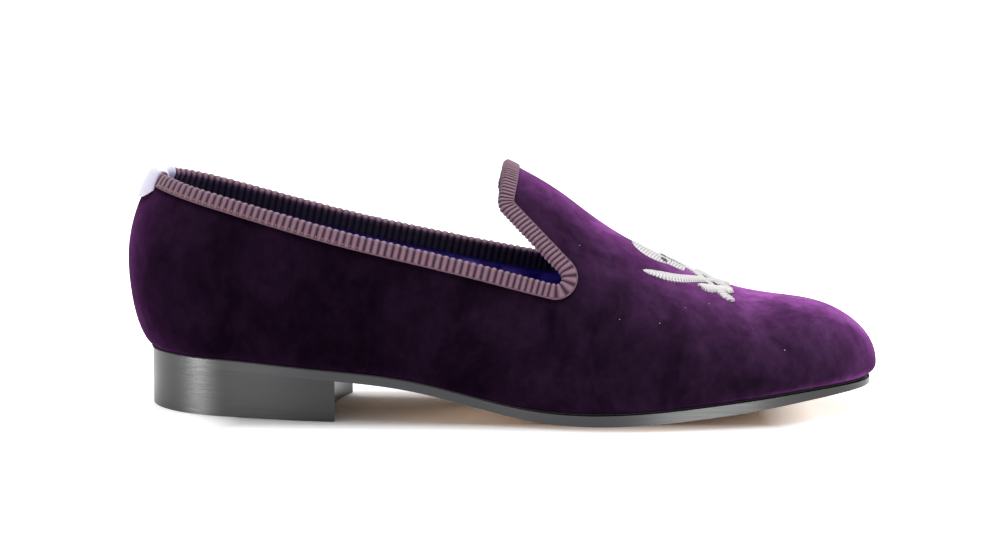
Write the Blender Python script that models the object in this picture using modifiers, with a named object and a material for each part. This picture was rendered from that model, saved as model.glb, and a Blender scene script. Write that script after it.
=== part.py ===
"""Velvet slipper loafer, right shoe, as separate solids: upper, outsole, heel, insole, binding, heel tab.

Lengths are in metres. The shoe is modelled with its heel back at x = 0, its toe along +X, its outer
side along -Y and the floor at z = 0. An empty then carries all pieces so that the origin is under
the middle of the shoe's box.
"""
import math

import bmesh
import bpy
import numpy as np
from mathutils import Vector

# Main sizes of the shoe
SHOE_LENGTH = 0.2955
BALL_WIDTH = 0.0985
INSTEP_HEIGHT = 0.090
HEEL_HEIGHT = 0.0187
TOE_SPRING = 0.0095

# Sole and insole
SOLE_EDGE = 0.0043
SOLE_CROWN = 0.0020
SOLE_LIP = 0.0016
WORN_FLAT = 0.0005
INSOLE_THICKNESS = 0.0025
BREAST_OUTER_AT = 0.284
BREAST_INNER_AT = 0.297
BREAST_HOLLOW = 0.0042

# Upper
WALL = 0.0020
HEEL_OVERHANG = 0.0092
TOE_OVERHANG = 0.0042
SEAT_STRIP = 0.0008
HEEL_CENTRE_AT = 0.136
TOE_CENTRE_AT = 0.820
SECTION_POWER = 2.08
TUCK_POWER = 1.3

# Ribbon trims
BINDING_WIDTH = 0.0047
BINDING_LINING_WIDTH = 0.0066
BINDING_THICKNESS = 0.0008
CREST_GAP = 0.0004
LINING_GAP = 0.0006
TAB_WIDTH = 0.022
TAB_OUTER_DROP = 0.0120
TAB_INNER_DROP = 0.0100
TAB_THICKNESS = 0.0006
TAB_HANG = 0.65

# Running gap between neighbours
CLEARANCE = 0.0003

# How closely the edge of the opening is followed: spacing, and turn between points
CUT_SPACING = 0.0040
CUT_TURN = math.radians(9.0)
RIBBON_SPACING = 0.0080
RIBBON_TURN = math.radians(12.0)
TAB_SPACING = 0.0033

# Sections along the shoe. at is a share of the length. swing moves the middle line to the inner side.
# It and the half widths, out to the outer side and in to the inner side, are shares of the ball
# width. belly_up and ridge_over are shares of the instep height, and the rest are shares of the heel
# height, toe spring, crown, edge and lip.
SECTION_COLUMNS = ("at", "swing", "seat_out", "seat_in", "belly_out", "belly_in", "belly_up",
                   "ridge_over", "lift", "spring", "crown", "edge", "lip")
SECTION_ROWS = (
    (0.000, 0.140, 0.300, 0.300, 0.338, 0.340, 0.355, 0.578, 1.00, 0.000, 0.00, 0.80, 0.05),
    (0.136, 0.080, 0.315, 0.290, 0.350, 0.330, 0.316, 0.622, 0.98, 0.000, 0.00, 0.80, 0.05),
    (0.251, 0.018, 0.340, 0.264, 0.374, 0.318, 0.276, 0.733, 0.87, 0.000, 0.00, 0.80, 0.05),
    (0.380, -0.004, 0.352, 0.218, 0.384, 0.300, 0.252, 0.778, 0.64, 0.000, 0.20, 0.80, 0.15),
    (0.481, 0.000, 0.396, 0.200, 0.426, 0.294, 0.248, 0.760, 0.25, 0.000, 0.60, 0.82, 0.40),
    (0.532, 0.000, 0.437, 0.223, 0.467, 0.312, 0.247, 0.710, 0.08, 0.000, 0.85, 0.88, 0.65),
    (0.579, 0.000, 0.474, 0.268, 0.504, 0.345, 0.236, 0.640, 0.00, 0.000, 1.00, 0.94, 0.85),
    (0.661, 0.000, 0.510, 0.345, 0.541, 0.401, 0.192, 0.486, 0.00, 0.030, 1.00, 1.00, 1.00),
    (0.738, 0.000, 0.487, 0.381, 0.520, 0.421, 0.146, 0.385, 0.00, 0.200, 1.00, 1.00, 1.00),
    (0.820, 0.000, 0.428, 0.365, 0.462, 0.402, 0.100, 0.302, 0.00, 0.440, 1.00, 0.96, 1.00),
    (0.877, 0.000, 0.382, 0.335, 0.420, 0.376, 0.080, 0.290, 0.00, 0.670, 0.85, 0.85, 1.00),
    (0.938, 0.000, 0.342, 0.308, 0.384, 0.350, 0.066, 0.306, 0.00, 0.870, 0.70, 0.68, 1.00),
    (1.000, 0.000, 0.304, 0.278, 0.348, 0.320, 0.058, 0.306, 0.00, 1.000, 0.40, 0.50, 1.00),
)

# Edge of the opening seen from the side, as corners with a rounding radius. up is a share of the
# instep height above the seat line, and inner_rise is how much higher the inner side runs.
OPENING_COLUMNS = ("at", "up", "inner_rise", "round")
OPENING_ROWS = (
    (-0.060, 0.852, 0.000, 0.000),
    (0.305, 0.588, -0.003, 0.900),
    (0.609, 0.503, 0.024, 0.0036),
    (0.499, 0.832, 0.004, 0.0052),
    (0.548, 1.550, 0.000, 0.000),
)


def clear_scene():
    """Remove the objects, meshes and collections that the file starts with."""
    for thing in list(bpy.data.objects):
        bpy.data.objects.remove(thing, do_unlink=True)
    for group in list(bpy.data.collections):
        bpy.data.collections.remove(group)


def natural_spline(knots, values):
    """Return a function for the natural cubic spline through the knots."""
    knots = np.array(knots, float)
    values = np.array(values, float)
    count = len(knots)
    step = np.diff(knots)
    slope = np.diff(values) / step
    system = np.eye(count)
    right_side = np.zeros(count)
    for i in range(1, count - 1):
        system[i, i - 1] = step[i - 1]
        system[i, i] = 2.0 * (step[i - 1] + step[i])
        system[i, i + 1] = step[i]
        right_side[i] = 6.0 * (slope[i] - slope[i - 1])
    bend = np.linalg.solve(system, right_side)

    def value_at(place):
        i = int(np.clip(np.searchsorted(knots, place) - 1, 0, count - 2))
        before = place - knots[i]
        after = knots[i + 1] - place
        cubic = (bend[i] * after ** 3 + bend[i + 1] * before ** 3) / (6.0 * step[i])
        low = (values[i] / step[i] - bend[i] * step[i] / 6.0) * after
        high = (values[i + 1] / step[i] - bend[i + 1] * step[i] / 6.0) * before
        return float(cubic + low + high)

    return value_at


def section_functions():
    """Return one spline for each named column of the section table."""
    shares = [row[0] for row in SECTION_ROWS]
    functions = {}
    for index, name in enumerate(SECTION_COLUMNS[1:], start=1):
        functions[name] = natural_spline(shares, [row[index] for row in SECTION_ROWS])
    return functions


SECTION = section_functions()


def share(name, x):
    """Value of a section column at a distance x from the heel back."""
    return SECTION[name](min(max(x / SHOE_LENGTH, 0.0), 1.0))


def end_rounding(x, back, front):
    """Share of the full width or height left at x, rounding off towards the back and front tips."""
    heel_centre = HEEL_CENTRE_AT * SHOE_LENGTH
    toe_centre = TOE_CENTRE_AT * SHOE_LENGTH
    reach = 0.0
    if x < heel_centre:
        reach = (heel_centre - x) / (heel_centre - back)
    if x > toe_centre:
        reach = (x - toe_centre) / (front - toe_centre)
    return max(0.0, 1.0 - min(reach, 1.0) ** SECTION_POWER) ** (1.0 / SECTION_POWER)


def stations(back, front, heel_count, middle_count, toe_count):
    """Places along X from tip to tip, closer together at both rounded ends."""
    heel_centre = HEEL_CENTRE_AT * SHOE_LENGTH
    toe_centre = TOE_CENTRE_AT * SHOE_LENGTH
    places = []
    for i in range(heel_count):
        angle = math.pi / 2.0 * (1.0 - i / heel_count)
        places.append(heel_centre - (heel_centre - back) * math.sin(angle))
    for i in range(middle_count):
        places.append(heel_centre + (toe_centre - heel_centre) * i / middle_count)
    for i in range(toe_count + 1):
        angle = math.pi / 2.0 * i / toe_count
        places.append(toe_centre + (front - toe_centre) * math.sin(angle))
    return places


def under_sole(x, across):
    """Height of the sole's underside at x, with across from 0 in the middle to 1 at the edge."""
    height = share("lift", x) * HEEL_HEIGHT + share("spring", x) * TOE_SPRING
    crown = share("crown", x)
    return height + crown * (SOLE_CROWN * across ** 2 - WORN_FLAT)


def sole_top(x, across):
    """Height of the sole's upper face."""
    return under_sole(x, across) + share("edge", x) * SOLE_EDGE


def seat_height(x):
    """Height of the line where the upper meets the sole."""
    return sole_top(x, 1.0) + CLEARANCE


def belly_height(x):
    """Height of the upper's widest line."""
    return seat_height(x) + share("belly_up", x) * INSTEP_HEIGHT


def ridge_rise(x):
    """Height of the ridge over the widest line, before the ends round off."""
    return share("ridge_over", x) * INSTEP_HEIGHT


def half_width(kind, side, x):
    """Half width of the seat or belly outline on the outer (-1) or inner (1) side."""
    name = kind + ("_out" if side < 0 else "_in")
    return share(name, x) * BALL_WIDTH


def middle_line(x):
    """Y of the shoe's middle line at x."""
    return share("swing", x) * BALL_WIDTH


def skin_value(point):
    """Zero on the upper's outer face above its widest line, and larger outside."""
    x, y, z = point
    offset = y - middle_line(x)
    across = abs(offset) / half_width("belly", 1 if offset > 0 else -1, x)
    rise = max(0.0, z - belly_height(x)) / ridge_rise(x)
    ends = end_rounding(x, 0.0, SHOE_LENGTH) ** SECTION_POWER
    return across ** SECTION_POWER + rise ** SECTION_POWER - ends


def skin_gradient(point):
    """Gradient of skin_value by central differences."""
    step = 1e-5
    result = []
    for axis in range(3):
        ahead = Vector(point)
        behind = Vector(point)
        ahead[axis] += step
        behind[axis] -= step
        result.append((skin_value(ahead) - skin_value(behind)) / (2.0 * step))
    return Vector(result)


def on_skin(point):
    """Move a point onto the outer face and return it with the face's normal there."""
    place = Vector(point)
    for _ in range(6):
        gradient = skin_gradient(place)
        place = place - gradient * (skin_value(place) / gradient.length_squared)
    return place, skin_gradient(place).normalized()


def skin_side(x, z):
    """Half width of the outer face at x and height z, as a share of the belly's half width."""
    rise = max(0.0, z - belly_height(x)) / ridge_rise(x)
    ends = end_rounding(x, 0.0, SHOE_LENGTH) ** SECTION_POWER
    return max(0.0, ends - rise ** SECTION_POWER) ** (1.0 / SECTION_POWER)


def fillet(before, corner, after, radius, count):
    """Points of a round of the given radius in the corner of a flat path."""
    back = (before - corner).normalized()
    ahead = (after - corner).normalized()
    half_angle = back.angle(ahead) / 2.0
    centre = corner + (back + ahead).normalized() * (radius / math.sin(half_angle))
    start = corner + back * (radius / math.tan(half_angle)) - centre
    finish = corner + ahead * (radius / math.tan(half_angle)) - centre
    sweep = math.pi - 2.0 * half_angle
    points = []
    for i in range(count + 1):
        angle = sweep * i / count
        mix = (start * math.sin(sweep - angle) + finish * math.sin(angle)) / math.sin(sweep)
        points.append(centre + mix)
    return points


def opening_outline(side):
    """Side view of the opening's edge on one side, as points with y = 0."""
    corners = []
    for at, up, inner_rise, _ in OPENING_ROWS:
        x = at * SHOE_LENGTH
        rise = up + (inner_rise if side > 0 else 0.0)
        corners.append(Vector((x, 0.0, seat_height(x) + rise * INSTEP_HEIGHT)))
    points = [corners[0]]
    for i in range(1, len(corners) - 1):
        points += fillet(corners[i - 1], corners[i], corners[i + 1], OPENING_ROWS[i][3], 12)
    points.append(corners[-1])
    return points


def resample(points, spacing, turn=None):
    """Points along an open path, closer together where it turns if a turn in radians is given."""
    reach = [0.0]
    for i in range(1, len(points)):
        step = points[i] - points[i - 1]
        cost = step.length / spacing
        if turn and i > 1:
            cost += step.angle(points[i - 1] - points[i - 2], 0.0) / turn
        reach.append(reach[-1] + cost)
    count = max(2, round(reach[-1]))
    result = []
    i = 0
    for k in range(count + 1):
        target = reach[-1] * k / count
        while i < len(points) - 2 and reach[i + 1] < target:
            i += 1
        mix = (target - reach[i]) / max(reach[i + 1] - reach[i], 1e-12)
        result.append(points[i].lerp(points[i + 1], mix))
    return result


def edge_half(side, spacing, turn):
    """Edge of the opening on the skin, from the back seam to the tongue's middle."""
    fine = resample(opening_outline(side), 0.00005)
    path = []
    for point in fine:
        width = skin_side(point.x, point.z)
        if width > 0.0:
            y = middle_line(point.x) + side * width * half_width("belly", side, point.x)
            path.append(Vector((point.x, y, point.z)))
    path[0].y = middle_line(path[0].x)
    path[-1].y = middle_line(path[-1].x)
    return resample(resample(path, 0.0005), spacing, turn)


def opening_edge(spacing, turn):
    """Closed loop of the opening's edge: outer side forward, then inner side back."""
    outer = edge_half(-1, spacing, turn)
    inner = edge_half(1, spacing, turn)
    return outer[:-1] + inner[::-1][:-1]


def edge_frames(spacing, turn=None):
    """For each point of the edge: the point, the skin's normal and the way into the velvet."""
    loop = opening_edge(spacing, turn)
    count = len(loop)
    frames = []
    for i in range(count):
        point, normal = on_skin(loop[i])
        along = (loop[(i + 1) % count] - loop[i - 1]).normalized()
        inward = along.cross(normal).normalized()
        frames.append((point, normal, inward))
    return frames


def mesh_object(name, points, faces):
    """Make an object from points and faces, with its faces turned outward."""
    mesh = bpy.data.meshes.new(name)
    mesh.from_pydata([tuple(p) for p in points], [], faces)
    work = bmesh.new()
    work.from_mesh(mesh)
    bmesh.ops.remove_doubles(work, verts=work.verts, dist=1e-7)
    bmesh.ops.recalc_face_normals(work, faces=work.faces)
    work.to_mesh(mesh)
    work.free()
    mesh.shade_smooth()
    mesh.set_sharp_from_angle(angle=math.radians(40.0))
    return bpy.data.objects.new(name, mesh)


def skin_lines(heel_count, middle_count, toe_count, tuck_rows, dome_rows):
    """Lines across the upper's outer face, from the outer seat over the ridge to the inner seat."""
    belly_places = stations(0.0, SHOE_LENGTH, heel_count, middle_count, toe_count)
    seat_places = stations(HEEL_OVERHANG, SHOE_LENGTH - TOE_OVERHANG, heel_count, middle_count, toe_count)
    lines = []
    for belly_x, seat_x in zip(belly_places, seat_places):
        belly_ends = end_rounding(belly_x, 0.0, SHOE_LENGTH)
        seat_ends = end_rounding(seat_x, HEEL_OVERHANG, SHOE_LENGTH - TOE_OVERHANG)
        flanks = {}
        for side in (-1, 1):
            seat_y = middle_line(seat_x) + side * half_width("seat", side, seat_x) * seat_ends
            seat = Vector((seat_x, seat_y, seat_height(seat_x)))
            belly_y = middle_line(belly_x) + side * half_width("belly", side, belly_x) * belly_ends
            belly = Vector((belly_x, belly_y, belly_height(belly_x)))
            flank = [seat]
            for i in range(tuck_rows):
                angle = math.pi / 2.0 * i / tuck_rows
                point = seat.lerp(belly, math.sin(angle) ** TUCK_POWER)
                low = seat.z + SEAT_STRIP
                point.z = low + (belly.z - low) * (1.0 - math.cos(angle))
                flank.append(point)
            flanks[side] = flank
        dome = []
        for i in range(dome_rows + 1):
            angle = math.pi * i / dome_rows
            side = -1 if i * 2 < dome_rows else 1
            across = abs(math.cos(angle)) ** (2.0 / SECTION_POWER) * belly_ends
            rise = math.sin(angle) ** (2.0 / SECTION_POWER) * belly_ends
            y = middle_line(belly_x) + side * across * half_width("belly", side, belly_x)
            dome.append(Vector((belly_x, y, belly_height(belly_x) + ridge_rise(belly_x) * rise)))
        lines.append(flanks[-1] + dome + flanks[1][::-1])
    return lines


def make_upper(spacing, turn):
    """Hollow velvet upper: the closed skin with its wall, cut along the opening's edge."""
    lines = skin_lines(7, 27, 8, 3, 22)
    width = len(lines[0])
    points = [p for line in lines for p in line]
    faces = []
    for i in range(len(lines) - 1):
        for j in range(width - 1):
            a = i * width + j
            faces.append((a, a + width, a + width + 1, a + 1))
    upper = mesh_object("upper", points, faces)
    clean_triangles(upper.data)
    point_faces_up(upper.data)
    shell = upper.modifiers.new("wall", "SOLIDIFY")
    shell.thickness = WALL
    shell.offset = -1.0
    shell.use_even_offset = True
    shell.use_quality_normals = True
    cut = upper.modifiers.new("opening", "BOOLEAN")
    cut.operation = "DIFFERENCE"
    cut.solver = "EXACT"
    cut.object = make_opening_cutter(spacing, turn)
    return upper, cut.object


def clean_triangles(mesh):
    """Turn the folded faces at both tips into plain triangles."""
    work = bmesh.new()
    work.from_mesh(mesh)
    bmesh.ops.dissolve_degenerate(work, dist=1e-7, edges=work.edges)
    work.to_mesh(mesh)
    work.free()


def point_faces_up(mesh):
    """Turn an open skin so that its ridge faces up."""
    top = max(mesh.polygons, key=lambda face: face.center.z)
    if top.normal.z < 0.0:
        mesh.flip_normals()


def make_opening_cutter(spacing, turn):
    """Closed form that fills the opening, with walls along the skin's normals."""
    reach = 4.0 * WALL
    frames = edge_frames(spacing, turn)
    outer = [point + normal * reach for point, normal, _ in frames]
    inner = [point - normal * reach for point, normal, _ in frames]
    count = len(frames)
    roof = Vector((0.25 * SHOE_LENGTH, 0.0, 2.0 * INSTEP_HEIGHT))
    pit = Vector((0.25 * SHOE_LENGTH, 0.0, seat_height(0.25 * SHOE_LENGTH) + 0.45 * INSTEP_HEIGHT))
    points = outer + inner + [roof, pit]
    faces = []
    for i in range(count):
        k = (i + 1) % count
        faces.append((i, k, count + k, count + i))
        faces.append((k, i, 2 * count))
        faces.append((count + i, count + k, 2 * count + 1))
    cutter = mesh_object("opening_cutter", points, faces)
    cutter.hide_render = True
    cutter.display_type = "WIRE"
    return cutter


def fold_section(frame, base, thickness, crest, outer_drop, inner_drop):
    """Closed section of a ribbon folded over the edge, base away from the skin's two faces."""
    point, normal, inward = frame
    middle = -(WALL + LINING_GAP - CLEARANCE) / 2.0
    chains = []
    for extra in (thickness, 0.0):
        lift = base + extra
        sink = WALL + lift + LINING_GAP - CLEARANCE
        half = (lift + sink) / 2.0
        chain = []
        for drop in (outer_drop, outer_drop / 2.0, 0.0):
            foot, face = on_skin(point + inward * drop)
            chain.append(foot + face * lift)
        for angle in (math.radians(50.0), math.radians(130.0)):
            rise = middle + half * math.cos(angle)
            chain.append(point - inward * ((crest + extra) * math.sin(angle)) + normal * rise)
        for drop in (0.0, inner_drop / 2.0, inner_drop):
            foot, face = on_skin(point + inward * drop)
            chain.append(foot - face * sink)
        chains.append(chain)
    return chains[0] + chains[1][::-1]


def sweep(name, sections, closed):
    """Join like sections into one solid, closed into a loop or with flat ends."""
    size = len(sections[0])
    count = len(sections)
    points = [p for section in sections for p in section]
    faces = []
    for i in range(count if closed else count - 1):
        k = (i + 1) % count
        for j in range(size):
            m = (j + 1) % size
            faces.append((i * size + j, k * size + j, k * size + m, i * size + m))
    if not closed:
        for first in (0, (count - 1) * size):
            for j in range(size // 2 - 1):
                faces.append((first + j, first + j + 1, first + size - 2 - j, first + size - 1 - j))
    return mesh_object(name, points, faces)


def make_binding(spacing, turn):
    """Grosgrain ribbon folded over the whole edge of the opening."""
    sections = []
    for frame in edge_frames(spacing, turn):
        sections.append(fold_section(frame, CLEARANCE, BINDING_THICKNESS, CREST_GAP,
                                     BINDING_WIDTH, BINDING_LINING_WIDTH))
    return sweep("topline_binding", sections, True)


def hanging_frame(frame):
    """Frame at the edge with its way into the velvet turned towards straight down."""
    point, normal, inward = frame
    down = Vector((0.0, 0.0, -1.0))
    down = (down - normal * normal.dot(down)).normalized()
    return point, normal, inward.lerp(down, TAB_HANG).normalized()


def make_heel_tab(spacing):
    """Satin ribbon folded over the binding at the back seam."""
    frames = edge_frames(spacing)
    steps = max(1, round(TAB_WIDTH / 2.0 / spacing))
    base = CLEARANCE + BINDING_THICKNESS + CLEARANCE
    crest = CREST_GAP + BINDING_THICKNESS + CLEARANCE
    sections = []
    for i in range(-steps, steps + 1):
        frame = hanging_frame(frames[i % len(frames)])
        sections.append(fold_section(frame, base, TAB_THICKNESS, crest, TAB_OUTER_DROP, TAB_INNER_DROP))
    return sweep("heel_tab", sections, False)


def slab(name, rows, low, high):
    """Solid between two heights over rows of plan points, where a row of one point is a tip."""
    points = []
    index = []
    for row in rows:
        top = []
        bottom = []
        for x, y, across in row:
            top.append(len(points))
            points.append((x, y, high(x, abs(across))))
            bottom.append(len(points))
            points.append((x, y, low(x, abs(across))))
        index.append((top, bottom))
    faces = []
    for (top_a, bottom_a), (top_b, bottom_b) in zip(index, index[1:]):
        if len(top_a) == 1 or len(top_b) == 1:
            tip_top, tip_bottom = (top_a[0], bottom_a[0]) if len(top_a) == 1 else (top_b[0], bottom_b[0])
            row_top, row_bottom = (top_b, bottom_b) if len(top_a) == 1 else (top_a, bottom_a)
            for j in range(len(row_top) - 1):
                faces.append((tip_top, row_top[j], row_top[j + 1]))
                faces.append((tip_bottom, row_bottom[j + 1], row_bottom[j]))
        else:
            for j in range(len(top_a) - 1):
                faces.append((top_a[j], top_a[j + 1], top_b[j + 1], top_b[j]))
                faces.append((bottom_a[j], bottom_b[j], bottom_b[j + 1], bottom_a[j + 1]))
    rim_top = [row[0][0] for row in index] + list(index[-1][0][1:]) + [row[0][-1] for row in index[-2::-1]]
    rim_bottom = [row[1][0] for row in index] + list(index[-1][1][1:]) + [row[1][-1] for row in index[-2::-1]]
    for i in range(len(rim_top)):
        k = (i + 1) % len(rim_top)
        if rim_top[i] != rim_top[k]:
            faces.append((rim_top[i], rim_top[k], rim_bottom[k], rim_bottom[i]))
    return mesh_object(name, points, faces)


ACROSS = (-1.0, -0.8, -0.5, -0.2, 0.2, 0.5, 0.8, 1.0)


def plan_row(x, side_width):
    """Plan points across the shoe at x, with the share of the half width at each."""
    row = []
    for across in ACROSS:
        side = -1 if across < 0.0 else 1
        row.append((x, middle_line(x) + across * side_width(side, x), across))
    return row


def sole_half_width(side, x):
    """Half width of the outsole."""
    back = HEEL_OVERHANG
    front = SHOE_LENGTH - TOE_OVERHANG + SOLE_LIP
    return (half_width("seat", side, x) + share("lip", x) * SOLE_LIP) * end_rounding(x, back, front)


def insole_half_width(side, x):
    """Half width of the insole, inside the upper's wall."""
    inset = WALL + 2.0 * CLEARANCE
    back = HEEL_OVERHANG + inset
    front = SHOE_LENGTH - TOE_OVERHANG - inset
    return (half_width("seat", side, x) - inset) * end_rounding(x, back, front)


def plate_rows(back, front, side_width, counts):
    """Rows of plan points from the back tip to the front tip."""
    places = stations(back, front, *counts)
    rows = [[(places[0], middle_line(places[0]), 1.0)]]
    for x in places[1:-1]:
        rows.append(plan_row(x, side_width))
    rows.append([(places[-1], middle_line(places[-1]), 1.0)])
    return rows


def make_outsole():
    """Leather sole with its arch, toe spring and a worn flat spot under the ball."""
    rows = plate_rows(HEEL_OVERHANG, SHOE_LENGTH - TOE_OVERHANG + SOLE_LIP, sole_half_width, (6, 20, 8))

    def low(x, across):
        return max(0.0, under_sole(x, across))

    return slab("outsole", rows, low, sole_top)


def make_insole():
    """Thin sock that lies on the sole inside the upper."""
    inset = WALL + 2.0 * CLEARANCE
    rows = plate_rows(HEEL_OVERHANG + inset, SHOE_LENGTH - TOE_OVERHANG - inset, insole_half_width, (5, 16, 6))

    def low(x, across):
        return sole_top(x, across) + CLEARANCE

    def high(x, across):
        return low(x, across) + INSOLE_THICKNESS

    return slab("insole", rows, low, high)


def make_heel():
    """Low heel block with a hollow breast, under the back of the sole."""
    outer_front = BREAST_OUTER_AT * SHOE_LENGTH
    inner_front = BREAST_INNER_AT * SHOE_LENGTH
    back = HEEL_OVERHANG
    heel_centre = HEEL_CENTRE_AT * SHOE_LENGTH
    places = [x for x in stations(back, SHOE_LENGTH, 7, 22, 1) if x < heel_centre]
    rows = [[(back, middle_line(back), 1.0)]]
    for x in places[1:]:
        rows.append(plan_row(x, sole_half_width))
    for part in (0.0, 0.5, 1.0):
        row = []
        for across in ACROSS:
            side = -1 if across < 0.0 else 1
            breast = outer_front + (inner_front - outer_front) * (across + 1.0) / 2.0
            breast -= BREAST_HOLLOW * (1.0 - across ** 2)
            x = heel_centre + (breast - heel_centre) * part
            row.append((x, middle_line(x) + across * sole_half_width(side, x), across))
        rows.append(row)

    def low(x, across):
        return 0.0

    def high(x, across):
        return under_sole(x, across) - CLEARANCE

    return slab("heel", rows, low, high)


def material(name, colour, roughness):
    """Plain Principled material in the part's colour."""
    finish = bpy.data.materials.new(name)
    finish.use_nodes = True
    shader = finish.node_tree.nodes["Principled BSDF"]
    shader.inputs["Base Color"].default_value = (*colour, 1.0)
    shader.inputs["Roughness"].default_value = roughness
    shader.inputs["Metallic"].default_value = 0.0
    return finish


def box_middle_across():
    """Y of the middle of the shoe's box, from its widest places."""
    places = [SHOE_LENGTH * i / 600.0 for i in range(601)]
    reach = {}
    for side in (-1, 1):
        widths = []
        for x in places:
            half = half_width("belly", side, x) * end_rounding(x, 0.0, SHOE_LENGTH)
            widths.append(half + side * middle_line(x))
        reach[side] = max(widths)
    return (reach[1] - reach[-1]) / 2.0


def main():
    """Build the shoe."""
    clear_scene()
    shoe = bpy.data.collections.new("velvet_slipper")
    cutters = bpy.data.collections.new("cutters")
    bpy.context.scene.collection.children.link(shoe)
    bpy.context.scene.collection.children.link(cutters)
    root = bpy.data.objects.new("shoe_root", None)
    root.location = (-SHOE_LENGTH / 2.0, -box_middle_across(), 0.0)
    shoe.objects.link(root)
    upper, cutter = make_upper(CUT_SPACING, CUT_TURN)
    pieces = (
        (upper, material("velvet", (0.045, 0.008, 0.065), 0.9)),
        (make_outsole(), material("sole_leather", (0.05, 0.05, 0.055), 0.45)),
        (make_heel(), material("heel_leather", (0.05, 0.05, 0.055), 0.4)),
        (make_insole(), material("sock_satin", (0.06, 0.02, 0.25), 0.5)),
        (make_binding(RIBBON_SPACING, RIBBON_TURN), material("grosgrain", (0.16, 0.08, 0.13), 0.7)),
        (make_heel_tab(TAB_SPACING), material("tab_satin", (0.75, 0.72, 0.9), 0.4)),
    )
    for piece, finish in pieces:
        piece.data.materials.append(finish)
        piece.parent = root
        shoe.objects.link(piece)
    cutter.parent = root
    cutters.objects.link(cutter)


main()
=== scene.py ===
"""Looks of the velvet slipper loafer, built around its CAD frame.

Lengths are in metres. Shapes are worked out with the heel back at x = 0, the toe along +X and the
outer side along -Y, and moved to the row frame when each mesh is made.
"""
import math

import bmesh
import bpy
import numpy as np
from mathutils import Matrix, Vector
from mathutils.kdtree import KDTree


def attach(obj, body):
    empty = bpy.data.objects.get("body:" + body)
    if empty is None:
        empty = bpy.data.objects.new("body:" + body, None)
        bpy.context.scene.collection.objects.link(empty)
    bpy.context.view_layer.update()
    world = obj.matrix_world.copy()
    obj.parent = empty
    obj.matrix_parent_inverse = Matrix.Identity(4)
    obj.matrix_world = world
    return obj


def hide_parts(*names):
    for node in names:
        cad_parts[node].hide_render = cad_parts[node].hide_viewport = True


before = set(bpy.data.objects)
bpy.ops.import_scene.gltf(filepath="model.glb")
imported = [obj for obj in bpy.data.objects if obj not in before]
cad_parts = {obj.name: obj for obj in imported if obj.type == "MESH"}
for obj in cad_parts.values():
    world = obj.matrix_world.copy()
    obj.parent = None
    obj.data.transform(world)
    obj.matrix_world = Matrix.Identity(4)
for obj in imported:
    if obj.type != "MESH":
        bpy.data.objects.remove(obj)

bl_info = {
    "name": "Velvet slipper loafer",
    "version": (1, 0, 0),
    "blender": (4, 5, 0),
    "location": "View3D > Sidebar > Slipper",
    "description": "Builds the visible pieces of a velvet slipper loafer",
    "category": "Object",
}

# Main sizes of the shoe
SHOE_LENGTH = 0.2955
BALL_WIDTH = 0.0985
INSTEP_HEIGHT = 0.090
HEEL_HEIGHT = 0.0187
TOE_SPRING = 0.0095

# Sole and insole
SOLE_EDGE = 0.0043
SOLE_CROWN = 0.0020
SOLE_LIP = 0.0016
WORN_FLAT = 0.0005
INSOLE_THICKNESS = 0.0025
SHARP_ANGLE = math.radians(50.0)
SOLE_BEVEL = 0.0004
HEEL_BEVEL = 0.0002
# Dark strip of painted shadow where the velvet meets the sole
SEAM_SHADOW_HALF_WIDTH = 0.00042
SEAM_SHADOW_HALF_HEIGHT = 0.00036
SEAM_SHADOW_LIFT = 0.00005
BREAST_OUTER_AT = 0.284
BREAST_INNER_AT = 0.297
BREAST_HOLLOW = 0.0042

# Upper
WALL = 0.0020
HEEL_OVERHANG = 0.0092
TOE_OVERHANG = 0.0042
SEAT_STRIP = 0.0008
HEEL_CENTRE_AT = 0.136
TOE_CENTRE_AT = 0.820
SECTION_POWER = 2.08
TUCK_POWER = 1.3
CLEARANCE = 0.0003
SEAT_FRONT = SHOE_LENGTH - TOE_OVERHANG
SOLE_FRONT = SEAT_FRONT + SOLE_LIP

# Velvet sheet. Its pile has a painted sheen that grows lighter between two places along the shoe, from
# its middle.
VELVET_THICKNESS = 0.0008
VELVET_UNDER_RIBBON = 0.0012
WAVE_MARGIN = 0.006
WAVE_RAMP = 0.012
TOE_SHEEN_PLACES = (-0.03, 0.125)
TOE_SHEEN_TONES = (0.85, 2.2)

# Painted sheen of the pile: its tones from facing the eye to grazing, as shares of its red, green and
# blue
PILE_SHEEN_TONES = (
    (0.00, (0.1889, 0.4500, 0.1538)),
    (0.35, (0.3667, 0.7500, 0.2923)),
    (0.60, (0.8000, 1.3750, 0.6308)),
    (0.80, (1.6000, 2.6250, 1.2154)),
    (1.00, (1.9556, 3.3750, 1.4615)),
)

# Lining and sock. The puffs grow over a ramp that starts a margin past the binding's inner leg, or
# past the tab's inner leg within the tab's reach of the back seam.
LINING_OVERLAP = 0.0006
LINING_UNDER_RIBBON = 0.0008
SOCK_INSET = WALL - 0.0003
PUFF_MARGIN = 0.0002
PUFF_RAMP = 0.0018
TAB_REACH = 0.022
TAB_BLEND = 0.004
GATHER_HEIGHT = 0.00012

# Ribbon trims
BINDING_WIDTH = 0.0047
BINDING_LINING_WIDTH = 0.0068
BINDING_LIFT = 0.0009
CREST_GAP = 0.0010
TAB_WIDTH = 0.027
TAB_OUTER_DROP = 0.0125
TAB_INNER_DROP = 0.0110
TAB_LIFT = 0.0026
TAB_THICKNESS = 0.0006
TAB_GAP = 0.0010
BINDING_UNDER_LIFT = 0.00012
BINDING_UNDER_GAP = 0.0001

# Stitches along the ribbon's edge, from and to a distance from the back seam, and thinner ahead
STITCHES_FROM = 0.015
STITCHES_TO = 0.105
STITCH_RADIUS = 0.00026
STITCH_THINNING = 0.0012
STITCH_LOW_LIFT = 0.00085
STITCH_HIGH_LIFT = 0.0007

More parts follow.
